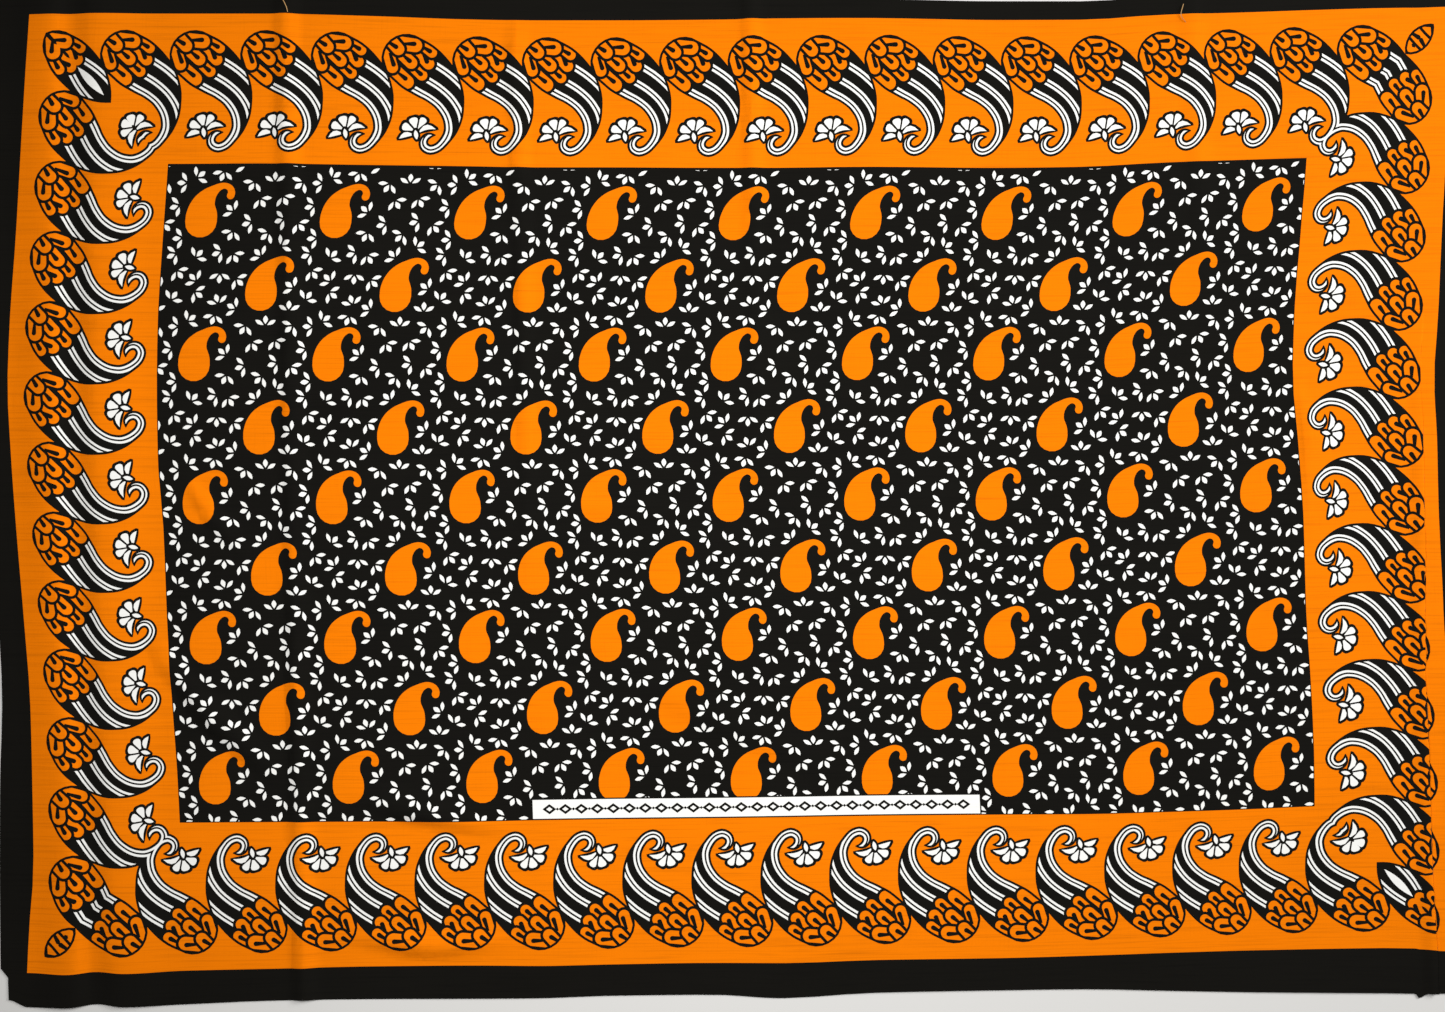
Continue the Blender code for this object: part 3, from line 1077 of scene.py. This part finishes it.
@dataclass
class WeaveGroup:
    """The node group of the plain weave, read in metres on the cut.

    It gives the tone of the yarns, the height of the weave and the roughness.
    """
    yarn_pitch: float = 0.00045
    name: str = "kanga_weave"

    def build(self) -> bpy.types.NodeTree:
        """Build the group once and return it."""
        tree = bpy.data.node_groups.new(self.name, "ShaderNodeTree")
        face = tree.interface
        face.new_socket("Cloth", in_out="INPUT", socket_type="NodeSocketVector")
        for label, value in (("Slub", 0.1), ("Drift", 0.03), ("Roughness", 0.85)):
            socket = face.new_socket(label, in_out="INPUT", socket_type="NodeSocketFloat")
            socket.default_value = value
        face.new_socket("Tone", in_out="OUTPUT", socket_type="NodeSocketFloat")
        face.new_socket("Height", in_out="OUTPUT", socket_type="NodeSocketFloat")
        face.new_socket("Roughness", in_out="OUTPUT", socket_type="NodeSocketFloat")
        nodes, links = tree.nodes, tree.links
        source = nodes.new("NodeGroupInput")
        sink = nodes.new("NodeGroupOutput")
        weft = self._streaks(tree, source, (15.0, 620.0, 1.0), 0.5, 0.76)
        long_weft = self._streaks(tree, source, (6.0, 330.0, 7.0), 0.54, 0.78)
        warp = self._streaks(tree, source, (950.0, 24.0, 3.0), 0.55, 0.8)
        slubs = self._math(tree, "ADD", weft, self._math(tree, "MULTIPLY", long_weft, 0.7))
        slubs = self._math(tree, "ADD", slubs, self._math(tree, "MULTIPLY", warp, 0.35))
        dark = self._math(tree, "MULTIPLY", slubs, source.outputs["Slub"])
        broad = nodes.new("ShaderNodeTexNoise")
        broad.inputs["Scale"].default_value = 7.0
        broad.inputs["Detail"].default_value = 3.0
        links.new(source.outputs["Cloth"], broad.inputs["Vector"])
        swing = self._math(tree, "SUBTRACT", broad.outputs["Fac"], 0.5)
        swing = self._math(tree, "MULTIPLY", swing, source.outputs["Drift"])
        tone = self._math(tree, "SUBTRACT", 1.0, dark)
        links.new(self._math(tree, "ADD", tone, swing), sink.inputs["Tone"])
        split = nodes.new("ShaderNodeSeparateXYZ")
        links.new(source.outputs["Cloth"], split.inputs["Vector"])
        turn = math.pi / self.yarn_pitch
        rows = [
            self._math(tree, "SINE", self._math(tree, "MULTIPLY", split.outputs[axis], turn))
            for axis in ("X", "Y")
        ]
        yarns = self._math(tree, "MULTIPLY", rows[0], rows[1])
        yarns = self._math(tree, "MULTIPLY", yarns, 0.25)
        height = self._math(tree, "ADD", yarns, self._math(tree, "MULTIPLY", slubs, 0.4))
        links.new(height, sink.inputs["Height"])
        rough = self._math(tree, "MULTIPLY", slubs, -0.06)
        links.new(
            self._math(tree, "ADD", source.outputs["Roughness"], rough), sink.inputs["Roughness"]
        )
        return tree

    @staticmethod
    def _math(tree: bpy.types.NodeTree, operation: str, first, second=None) -> bpy.types.NodeSocket:
        """Add a maths node on sockets or numbers and return its output."""
        node = tree.nodes.new("ShaderNodeMath")
        node.operation = operation
        for socket, value in zip(node.inputs, (first, second)):
            if isinstance(value, bpy.types.NodeSocket):
                tree.links.new(value, socket)
            elif value is not None:
                socket.default_value = value
        return node.outputs[0]

    @staticmethod
    def _streaks(
        tree: bpy.types.NodeTree,
        source: bpy.types.Node,
        scale: tuple[float, float, float],
        low: float,
        high: float,
    ) -> bpy.types.NodeSocket:
        """Add a mask of thin streaks along one set of yarns and return its output."""
        stretch = tree.nodes.new("ShaderNodeVectorMath")
        stretch.operation = "MULTIPLY_ADD"
        stretch.inputs[1].default_value = scale
        stretch.inputs[2].default_value = (0.0, 0.0, scale[2])
        tree.links.new(source.outputs["Cloth"], stretch.inputs[0])
        noise = tree.nodes.new("ShaderNodeTexNoise")
        noise.inputs["Scale"].default_value = 1.0
        noise.inputs["Detail"].default_value = 1.5
        tree.links.new(stretch.outputs["Vector"], noise.inputs["Vector"])
        ramp = tree.nodes.new("ShaderNodeMapRange")
        ramp.inputs["From Min"].default_value = low
        ramp.inputs["From Max"].default_value = high
        tree.links.new(noise.outputs["Fac"], ramp.inputs["Value"])
        return ramp.outputs["Result"]


@dataclass(frozen=True)
class Cotton:
    """One finish of the cloth: its dye and how strongly the yarns show in it."""
    name: str
    colour: tuple[float, float, float]
    slub: float
    drift: float
    roughness: float
    sheen: float
    specular: float
    weave_relief: float = 0.00006

    def build(self, weave: bpy.types.NodeTree) -> bpy.types.Material:
        """Build the finish as a material that reads the weave on the cut."""
        material = bpy.data.materials.new(self.name)
        material.use_nodes = True
        nodes, links = material.node_tree.nodes, material.node_tree.links
        shader = nodes["Principled BSDF"]
        flat = nodes.new("ShaderNodeUVMap")
        flat.uv_map = "cut"
        yarns = nodes.new("ShaderNodeGroup")
        yarns.node_tree = weave
        yarns.inputs["Slub"].default_value = self.slub
        yarns.inputs["Drift"].default_value = self.drift
        yarns.inputs["Roughness"].default_value = self.roughness
        links.new(flat.outputs["UV"], yarns.inputs["Cloth"])
        dye = nodes.new("ShaderNodeVectorMath")
        dye.operation = "SCALE"
        dye.inputs[0].default_value = self.colour
        links.new(yarns.outputs["Tone"], dye.inputs["Scale"])
        links.new(dye.outputs["Vector"], shader.inputs["Base Color"])
        links.new(yarns.outputs["Roughness"], shader.inputs["Roughness"])
        bump = nodes.new("ShaderNodeBump")
        bump.inputs["Strength"].default_value = 1.0
        bump.inputs["Distance"].default_value = self.weave_relief
        links.new(yarns.outputs["Height"], bump.inputs["Height"])
        links.new(bump.outputs["Normal"], shader.inputs["Normal"])
        shader.inputs["Sheen Weight"].default_value = self.sheen
        shader.inputs["Sheen Roughness"].default_value = 0.5
        shader.inputs["Specular IOR Level"].default_value = self.specular
        return material


@dataclass
class Finishes:
    """All the finishes of the cloth, built once."""
    weave: WeaveGroup = field(default_factory=WeaveGroup)
    black: Cotton = Cotton("kanga_black", (0.0062, 0.0056, 0.0044), 0.2, 0.3, 0.9, 0.004, 0.05)
    orange: Cotton = Cotton("kanga_orange", (0.83, 0.186, 0.0004), 0.16, 0.1, 0.88, 0.0, 0.035)
    white: Cotton = Cotton("kanga_white", (0.83, 0.825, 0.79), 0.04, 0.03, 0.86, 0.0, 0.08)
    yarn: Cotton = Cotton("kanga_yarn", (0.5, 0.3, 0.12), 0.1, 0.1, 0.9, 0.1, 0.1)
    reverse: Cotton = Cotton("kanga_reverse", (0.05, 0.042, 0.034), 0.3, 0.4, 0.9, 0.05, 0.15)

    def build(self) -> dict[str, bpy.types.Material]:
        """Build every finish and return them by name."""
        weave = self.weave.build()
        return {
            finish.name: finish.build(weave)
            for finish in (self.black, self.orange, self.white, self.yarn, self.reverse)
        }


@dataclass
class ClothPiece:
    """A piece of the cloth or its print: flat meshes that are sliced, thickened and laid."""
    name: str
    form: LaidForm
    clearance: float
    thickness: float
    materials: tuple[bpy.types.Material, ...]

    def build(self, flats: Sequence[bmesh.types.BMesh]) -> bpy.types.Object:
        """Slice, join and lay flat meshes.

        Args:
            flats: Parts of the piece on the cut, in millimetres; they are used up.

        Returns:
            The finished object.
        """
        whole = bmesh.new()
        for flat in flats:
            self.form.slicing.slice(flat)
            append(whole, flat)
        bmesh.ops.remove_doubles(whole, verts=whole.verts[:], dist=0.01)
        bmesh.ops.triangulate(whole, faces=whole.faces[:])
        return self.lay(whole)

    def lay(self, flat: bmesh.types.BMesh) -> bpy.types.Object:
        """Thicken a flat mesh of triangles, lay it and return the finished object."""
        flat.normal_update()
        facing_down = [face for face in flat.faces if face.normal.z < 0.0]
        bmesh.ops.reverse_faces(flat, faces=facing_down)
        bmesh.ops.translate(flat, verts=flat.verts[:], vec=(0.0, 0.0, self.clearance))
        bmesh.ops.solidify(flat, geom=flat.faces[:], thickness=self.thickness)
        middle = self.clearance - self.thickness / 2.0
        for face in flat.faces:
            low = all(vert.co.z < middle for vert in face.verts)
            face.material_index = len(self.materials) - 1 if low else 0
        self.write_cut_map(flat)
        mesh = bpy.data.meshes.new(self.name)
        flat.to_mesh(mesh)
        flat.free()
        places = np.empty(len(mesh.vertices) * 3)
        mesh.vertices.foreach_get("co", places)
        places = places.reshape(-1, 3)
        laid = self.form.surface(places[:, 0], places[:, 1], places[:, 2]) * MM
        mesh.vertices.foreach_set("co", laid.ravel())
        mesh.shade_smooth()
        mesh.set_sharp_from_angle(angle=math.radians(60.0))
        mesh.update()
        for material in self.materials:
            mesh.materials.append(material)
        piece = bpy.data.objects.new(self.name, mesh)
        bpy.context.scene.collection.objects.link(piece)
        return piece

    @staticmethod
    def write_cut_map(flat: bmesh.types.BMesh) -> None:
        """Keep each point's place on the cut, in metres, as the map that the weave reads."""
        layer = flat.loops.layers.uv.new("cut")
        for face in flat.faces:
            for loop in face.loops:
                loop[layer].uv = (loop.vert.co.x * MM, loop.vert.co.y * MM)


def append(whole: bmesh.types.BMesh, part: bmesh.types.BMesh) -> None:
    """Add one mesh to another and use it up."""
    carrier = bpy.data.meshes.new("carrier")
    part.to_mesh(carrier)
    part.free()
    whole.from_mesh(carrier)
    bpy.data.meshes.remove(carrier)


@dataclass
class Panel:
    """The dyed cotton itself, from one cut end to the other."""
    form: LaidForm
    finishes: dict[str, bpy.types.Material]

    def build(self) -> bpy.types.Object:
        """Build the cloth that stands for the solid panel."""
        thickness = self.form.laying.thickness
        maker = ClothPiece(
            "kanga_cloth", self.form, thickness, thickness,
            (self.finishes["kanga_black"], self.finishes["kanga_reverse"]),
        )
        return maker.lay(self.form.flat.copy())


@dataclass
class Border:
    """The wide orange border with its curled motifs, mitred at the four corners."""
    form: LaidForm
    finishes: dict[str, bpy.types.Material]
    pitch: float = 69.0
    first_curl: float = 126.5
    motif: BorderMotif = field(default_factory=BorderMotif)
    corner_leaf: tuple[float, float, float] = (73.5, 39.6, 7.6)
    corner_leaf_steps: int = 10
    corner_leaf_fullness: float = 0.9

    def build(self) -> list[bpy.types.Object]:
        """Build each ink of the border, its two long sides and its two short ones apart."""
        repeat = self._repeat()
        pieces = []
        for ink in (Ink.ORANGE, Ink.WHITE):
            for run, sides in (
                ("long", (Side.TOP, Side.BOTTOM)),
                ("short", (Side.LEFT, Side.RIGHT)),
            ):
                maker = ClothPiece(
                    f"border_{ink.value}_{run}_sides", self.form,
                    self.form.laying.thickness + PRINT_RISE, PRINT_THICKNESS,
                    (self.finishes[f"kanga_{ink.value}"],),
                )
                pieces.append(maker.build(self._tiles(repeat[ink], sides)))
        pieces.append(self._corner_leaves())
        return pieces

    def _corner_leaves(self) -> bpy.types.Object:
        """Build the white leaf that the mitre leaves in the two corners where curls meet."""
        cut = self.form.laying.cut
        start, length, width = self.corner_leaf
        steps = [number / self.corner_leaf_steps for number in range(self.corner_leaf_steps + 1)]
        profile = [
            (step, math.sin(math.pi * step) ** self.corner_leaf_fullness) for step in steps
        ]
        flat = bmesh.new()
        for corner, heading in (
            ((cut.band_left, cut.band_top), -45.0), ((cut.band_right, cut.band_bottom), 135.0)
        ):
            outline = lens(corner, heading, start, length, width, profile)
            flat.faces.new([flat.verts.new((x, y, 0.0)) for x, y in outline])
        bmesh.ops.triangulate(flat, faces=flat.faces[:])
        maker = ClothPiece(
            "border_corner_leaves", self.form,
            self.form.laying.thickness + 2.0 * PRINT_RISE, PRINT_THICKNESS,
            (self.finishes["kanga_white"],),
        )
        return maker.build([flat])

    def _repeat(self) -> dict[Ink, bmesh.types.BMesh]:
        """Return one repeat of the border, cut off straight at both ends."""
        plate = InkPlate()
        outline = rectangle(0.0, 0.0, self.pitch, self.form.laying.cut.border_depth)
        ground = plate.draw(Ink.ORANGE, outline)
        curl = self.first_curl % self.pitch
        for number in (-1, 0, 1):
            self.motif.draw(plate, curl + number * self.pitch)
        return plate.printed(ground)

    def _tiles(
        self, repeat: bmesh.types.BMesh, sides: Sequence[Side]
    ) -> list[bmesh.types.BMesh]:
        """Return every repeat of some sides in one ink, cut to the corners' mitres."""
        cut = self.form.laying.cut
        tiles = []
        for side in sides:
            length = cut.band_length if side in (Side.TOP, Side.BOTTOM) else cut.band_width
            for number in range(math.ceil(length / self.pitch)):
                tile = repeat.copy()
                start = number * self.pitch
                bmesh.ops.translate(tile, verts=tile.verts[:], vec=(start, 0.0, 0.0))
                if start < cut.border_depth:
                    keep_side(tile, (0.0, 0.0), (-1.0, 1.0))
                if start + self.pitch > length - cut.border_depth:
                    keep_side(tile, (length, 0.0), (1.0, 1.0))
                bmesh.ops.transform(tile, matrix=self._to_side(side), verts=tile.verts[:])
                tiles.append(tile)
        return tiles

    def _to_side(self, side: Side) -> Matrix:
        """Return the matrix that takes the border's own frame to one side of the cut."""
        cut = self.form.laying.cut
        origin, along, inward = {
            Side.TOP: ((cut.band_left, cut.band_top), (1, 0), (0, -1)),
            Side.LEFT: ((cut.band_left, cut.band_top), (0, -1), (1, 0)),
            Side.BOTTOM: ((cut.band_right, cut.band_bottom), (-1, 0), (0, 1)),
            Side.RIGHT: ((cut.band_right, cut.band_bottom), (0, 1), (-1, 0)),
        }[side]
        return Matrix((
            (along[0], inward[0], 0.0, origin[0]),
            (along[1], inward[1], 0.0, origin[1]),
            (0.0, 0.0, 1.0, 0.0),
            (0.0, 0.0, 0.0, 1.0),
        ))


@dataclass
class SayingStrip:
    """The white strip at the foot of the field, with a plain row of lozenges for words."""
    form: LaidForm
    finishes: dict[str, bpy.types.Material]
    left: float = -220.6
    right: float = 231.5
    height: float = 20.5
    line: float = 1.4
    lozenge: Point = (7.0, 5.2)
    lozenge_eye: Point = (3.15, 2.3)
    dot: Point = (1.6, 1.6)
    lozenge_pitch: float = 16.0

    @property
    def top(self) -> float:
        """The strip's top side, its black line included."""
        return self.form.laying.cut.field_bottom + self.height + self.line

    def build(self) -> bpy.types.Object:
        """Build the white of the strip, with the lozenges left open on the black ground."""
        bottom = self.form.laying.cut.field_bottom + self.line
        plate = InkPlate()
        box = rectangle(
            self.left + self.line, bottom, self.right - self.line, self.top - self.line
        )
        ground = plate.draw(Ink.WHITE, box)
        middle = (bottom + self.top - self.line) / 2.0
        count = int((self.right - self.left - 2.0 * self.lozenge[0]) / self.lozenge_pitch)
        start = (self.left + self.right) / 2.0 - (count - 1) * self.lozenge_pitch / 2.0
        for number in range(count):
            centre = start + number * self.lozenge_pitch
            plate.draw(Ink.BLACK, self._diamond(centre, middle, *self.lozenge))
            plate.draw(Ink.WHITE, self._diamond(centre, middle, *self.lozenge_eye))
            if number < count - 1:
                between = centre + self.lozenge_pitch / 2.0
                plate.draw(Ink.BLACK, self._diamond(between, middle, *self.dot))
        maker = ClothPiece(
            "saying_strip", self.form, self.form.laying.thickness + PRINT_RISE,
            PRINT_THICKNESS, (self.finishes["kanga_white"],),
        )
        return maker.build([plate.printed(ground)[Ink.WHITE]])

    @staticmethod
    def _diamond(centre: float, middle: float, half_width: float, half_height: float) -> list[Point]:
        """Return the outline of a lozenge."""
        return [
            (centre - half_width, middle), (centre, middle - half_height),
            (centre + half_width, middle), (centre, middle + half_height),
        ]


@dataclass
class PrintedField:
    """The dark field's print: rows of orange paisleys with white sprigs between them."""
    form: LaidForm
    finishes: dict[str, bpy.types.Material]
    strip: SayingStrip
    pitch: float = 132.1
    row_pair: float = 141.3
    second_row: float = 72.4
    first_u: float = -525.3
    first_v: float = 290.3
    row_shift: float = 63.7
    rows: int = 9
    row_paisleys: tuple[int, int] = (9, 8)
    sprig_columns: tuple[int, int] = (-2, 11)
    sprig_reach: float = 12.0
    side_trim: float = 1.0
    top_trim: float = 2.5
    middle_leaf: tuple[float, float] = (8.4, 5.0)
    side_leaf: tuple[float, float] = (9.6, 4.0)
    leaf_spread: float = 59.0
    leaf_start: float = 2.1

    def build(self) -> list[bpy.types.Object]:
        """Build the paisleys and the sprigs as two pieces."""
        made = []
        for name, ink, flats in (
            ("field_paisleys", Ink.ORANGE, self._paisleys()),
            ("field_sprigs", Ink.WHITE, self._sprigs()),
        ):
            maker = ClothPiece(
                name, self.form, self.form.laying.thickness + PRINT_RISE, PRINT_THICKNESS,
                (self.finishes[f"kanga_{ink.value}"],),
            )
            made.append(maker.build(flats))
        return made

    def _trimmed(self, flat: bmesh.types.BMesh) -> bmesh.types.BMesh:
        """Trim a flat mesh to the field and clear it off the strip."""
        cut = self.form.laying.cut
        bmesh.ops.triangulate(flat, faces=flat.faces[:])
        keep_side(flat, (cut.field_left + self.side_trim, 0.0), (-1.0, 0.0))
        keep_side(flat, (cut.field_right - self.side_trim, 0.0), (1.0, 0.0))
        keep_side(flat, (0.0, cut.field_top - self.top_trim), (0.0, 1.0))
        keep_side(flat, (0.0, cut.field_bottom + self.side_trim), (0.0, -1.0))
        drop_box(flat, self.strip.left, cut.field_bottom, self.strip.right, self.strip.top)
        return flat

    def _paisleys(self) -> list[bmesh.types.BMesh]:
        """Return the flat paisleys row by row, every other row set over."""
        shape = Sweep(PAISLEY, steps=4, cap_steps=9).outline()
        flats = []
        for row in range(self.rows):
            flat = bmesh.new()
            shift = self.row_shift if row % 2 else 0.0
            for number in range(self.row_paisleys[row % 2]):
                u = self.first_u + shift + number * self.pitch
                v = self.first_v - row // 2 * self.row_pair - row % 2 * self.second_row
                flat.faces.new([flat.verts.new((u + x, v + y, 0.0)) for x, y in shape])
            flats.append(self._trimmed(flat))
        return flats

    def _sprigs(self) -> list[bmesh.types.BMesh]:
        """Return the flat sprigs, charted once for two rows and repeated."""
        cut = self.form.laying.cut
        reach = self.sprig_reach
        flats = []
        for row in range(-1, self.rows // 2 + 2):
            flat = bmesh.new()
            for number in range(*self.sprig_columns):
                for sprig in SPRIGS:
                    u = self.first_u + number * self.pitch + sprig.u
                    v = self.first_v - row * self.row_pair + sprig.v
                    near_u = cut.field_left - reach < u < cut.field_right + reach
                    near_v = cut.field_bottom - reach < v < cut.field_top + reach
                    if near_u and near_v:
                        self._add_sprig(flat, (u, v), sprig.heading)
            flats.append(self._trimmed(flat))
        return flats

    def _add_sprig(self, flat: bmesh.types.BMesh, root: Point, heading: float) -> None:
        """Add the three leaves of one sprig to a flat mesh."""
        for turn, (length, width) in (
            (0.0, self.middle_leaf),
            (-self.leaf_spread, self.side_leaf),
            (self.leaf_spread, self.side_leaf),
        ):
            outline = lens(root, heading + turn, self.leaf_start, length, width)
            flat.faces.new([flat.verts.new((x, y, 0.0)) for x, y in outline])


@dataclass
class LooseYarns:
    """The ends of yarn that have worked loose at the top cut edge."""
    form: LaidForm
    finishes: dict[str, bpy.types.Material]
    radius: float = 0.4
    sides: int = 6

    def build(self) -> bpy.types.Object:
        """Build the yarn ends as one piece."""
        whole = bmesh.new()
        for route in LOOSE_YARNS:
            self._add_yarn(whole, [self._resting(point) for point in route])
        ClothPiece.write_cut_map(whole)
        bmesh.ops.scale(whole, verts=whole.verts[:], vec=(MM, MM, MM))
        mesh = bpy.data.meshes.new("loose_yarns")
        whole.to_mesh(mesh)
        whole.free()
        mesh.shade_smooth()
        mesh.materials.append(self.finishes["kanga_yarn"])
        piece = bpy.data.objects.new("loose_yarns", mesh)
        bpy.context.scene.collection.objects.link(piece)
        return piece

    def _resting(self, point: YarnPoint) -> Vector:
        """Return where a yarn point rests on the printed side."""
        u, v = self.form.laying.flat_of(point.x, point.y)
        clearance = self.form.laying.thickness + 2.0 * PRINT_RISE + self.radius + point.lift
        place = self.form.surface(np.array([u]), np.array([v]), np.array([clearance]))
        return Vector(place[0])

    def _add_yarn(self, whole: bmesh.types.BMesh, route: Sequence[Vector]) -> None:
        """Add one closed round yarn that runs along a route."""
        yarn = bmesh.new()
        turn = (route[1] - route[0]).to_track_quat("Z", "Y").to_matrix().to_4x4()
        bmesh.ops.create_circle(
            yarn, cap_ends=True, segments=self.sides, radius=self.radius,
            matrix=Matrix.Translation(route[0]) @ turn,
        )
        ring = yarn.edges[:]
        for start, stop in zip(route, route[1:]):
            made = bmesh.ops.extrude_edge_only(yarn, edges=ring)
            ring = [item for item in made["geom"] if isinstance(item, bmesh.types.BMEdge)]
            verts = [item for item in made["geom"] if isinstance(item, bmesh.types.BMVert)]
            bmesh.ops.translate(yarn, verts=verts, vec=stop - start)
        bmesh.ops.contextual_create(yarn, geom=ring)
        bmesh.ops.recalc_face_normals(yarn, faces=yarn.faces[:])
        append(whole, yarn)


@dataclass
class Studio:
    """The pale floor, the soft light and the camera straight above."""
    photo_width: float = 1445.0
    view_middle: Point = (-5.0, -7.5)
    lens: float = 50.0
    sensor: float = 36.0
    floor_half: float = 4.0
    floor_drop: float = 0.0004
    floor_colour: tuple[float, float, float, float] = (0.66, 0.65, 0.63, 1.0)
    room_colour: tuple[float, float, float, float] = (1.0, 0.985, 0.96, 1.0)
    room_strength: float = 0.16

    def build(self) -> None:
        """Build the floor, the lights and the camera."""
        self._floor()
        self._lights()
        self._camera()
        view = bpy.context.scene.view_settings
        view.view_transform = "Standard"
        view.look = "None"

    def _camera(self) -> None:
        """Hang the camera so that the photograph's frame fits the laid cloth."""
        camera = bpy.data.cameras.new("view_from_above")
        camera.lens = self.lens
        camera.sensor_width = self.sensor
        camera.sensor_fit = "HORIZONTAL"
        item = bpy.data.objects.new("view_from_above", camera)
        distance = self.photo_width * MM * self.lens / self.sensor
        item.location = (self.view_middle[0] * MM, self.view_middle[1] * MM, distance)
        bpy.context.scene.collection.objects.link(item)
        bpy.context.scene.camera = item

    def _floor(self) -> None:
        """Lay the plain pale floor just under the cloth."""
        flat = bmesh.new()
        bmesh.ops.create_grid(flat, x_segments=1, y_segments=1, size=self.floor_half)
        bmesh.ops.translate(flat, verts=flat.verts[:], vec=(0.0, 0.0, -self.floor_drop))
        mesh = bpy.data.meshes.new("pale_floor")
        flat.to_mesh(mesh)
        flat.free()
        material = bpy.data.materials.new("pale_floor")
        material.use_nodes = True
        shader = material.node_tree.nodes["Principled BSDF"]
        shader.inputs["Base Color"].default_value = self.floor_colour
        shader.inputs["Roughness"].default_value = 0.9
        mesh.materials.append(material)
        item = bpy.data.objects.new("pale_floor", mesh)
        bpy.context.scene.collection.objects.link(item)

    def _lights(self) -> None:
        """Set a broad soft key from the upper right, and a dim fill all round."""
        self._area("key_light", (2.4, 1.1, 1.4), 1.2, 80.0)
        self._area("top_light", (-0.12, 0.04, 1.2), 0.6, 13.8)
        world = bpy.data.worlds.new("soft_room")
        world.use_nodes = True
        background = world.node_tree.nodes["Background"]
        background.inputs["Color"].default_value = self.room_colour
        background.inputs["Strength"].default_value = self.room_strength
        bpy.context.scene.world = world

    @staticmethod
    def _area(name: str, place: tuple[float, float, float], size: float, power: float) -> None:
        """Hang one square lamp that faces the middle of the cloth."""
        lamp = bpy.data.lights.new(name, "AREA")
        lamp.size = size
        lamp.energy = power
        item = bpy.data.objects.new(name, lamp)
        item.location = place
        item.rotation_euler = Vector(place).to_track_quat("Z", "Y").to_euler()
        item.visible_camera = False
        bpy.context.scene.collection.objects.link(item)


def dress(piece: bpy.types.Object) -> None:
    """Tie a piece to the cloth's body, and report it."""
    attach(piece, BODY)
    LOG.info("%s: %d faces", piece.name, len(piece.data.polygons))


def main() -> None:
    """Build the studio, the cloth and its print, in that order."""
    logging.basicConfig(level=logging.INFO, format="%(name)s: %(message)s")
    Studio().build()
    laying = Laying()
    slicing = Slicing(laying)
    finishes = Finishes().build()
    form = LaidForm(laying, slicing)
    cloth = Panel(form, finishes).build()
    dress(cloth)
    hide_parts(CAD_NODE)
    strip = SayingStrip(form, finishes)
    prints = [
        *Border(form, finishes).build(),
        *PrintedField(form, finishes, strip).build(),
        strip.build(),
        LooseYarns(form, finishes).build(),
    ]
    for piece in prints:
        dress(piece)


if __name__ == "__main__":
    main()
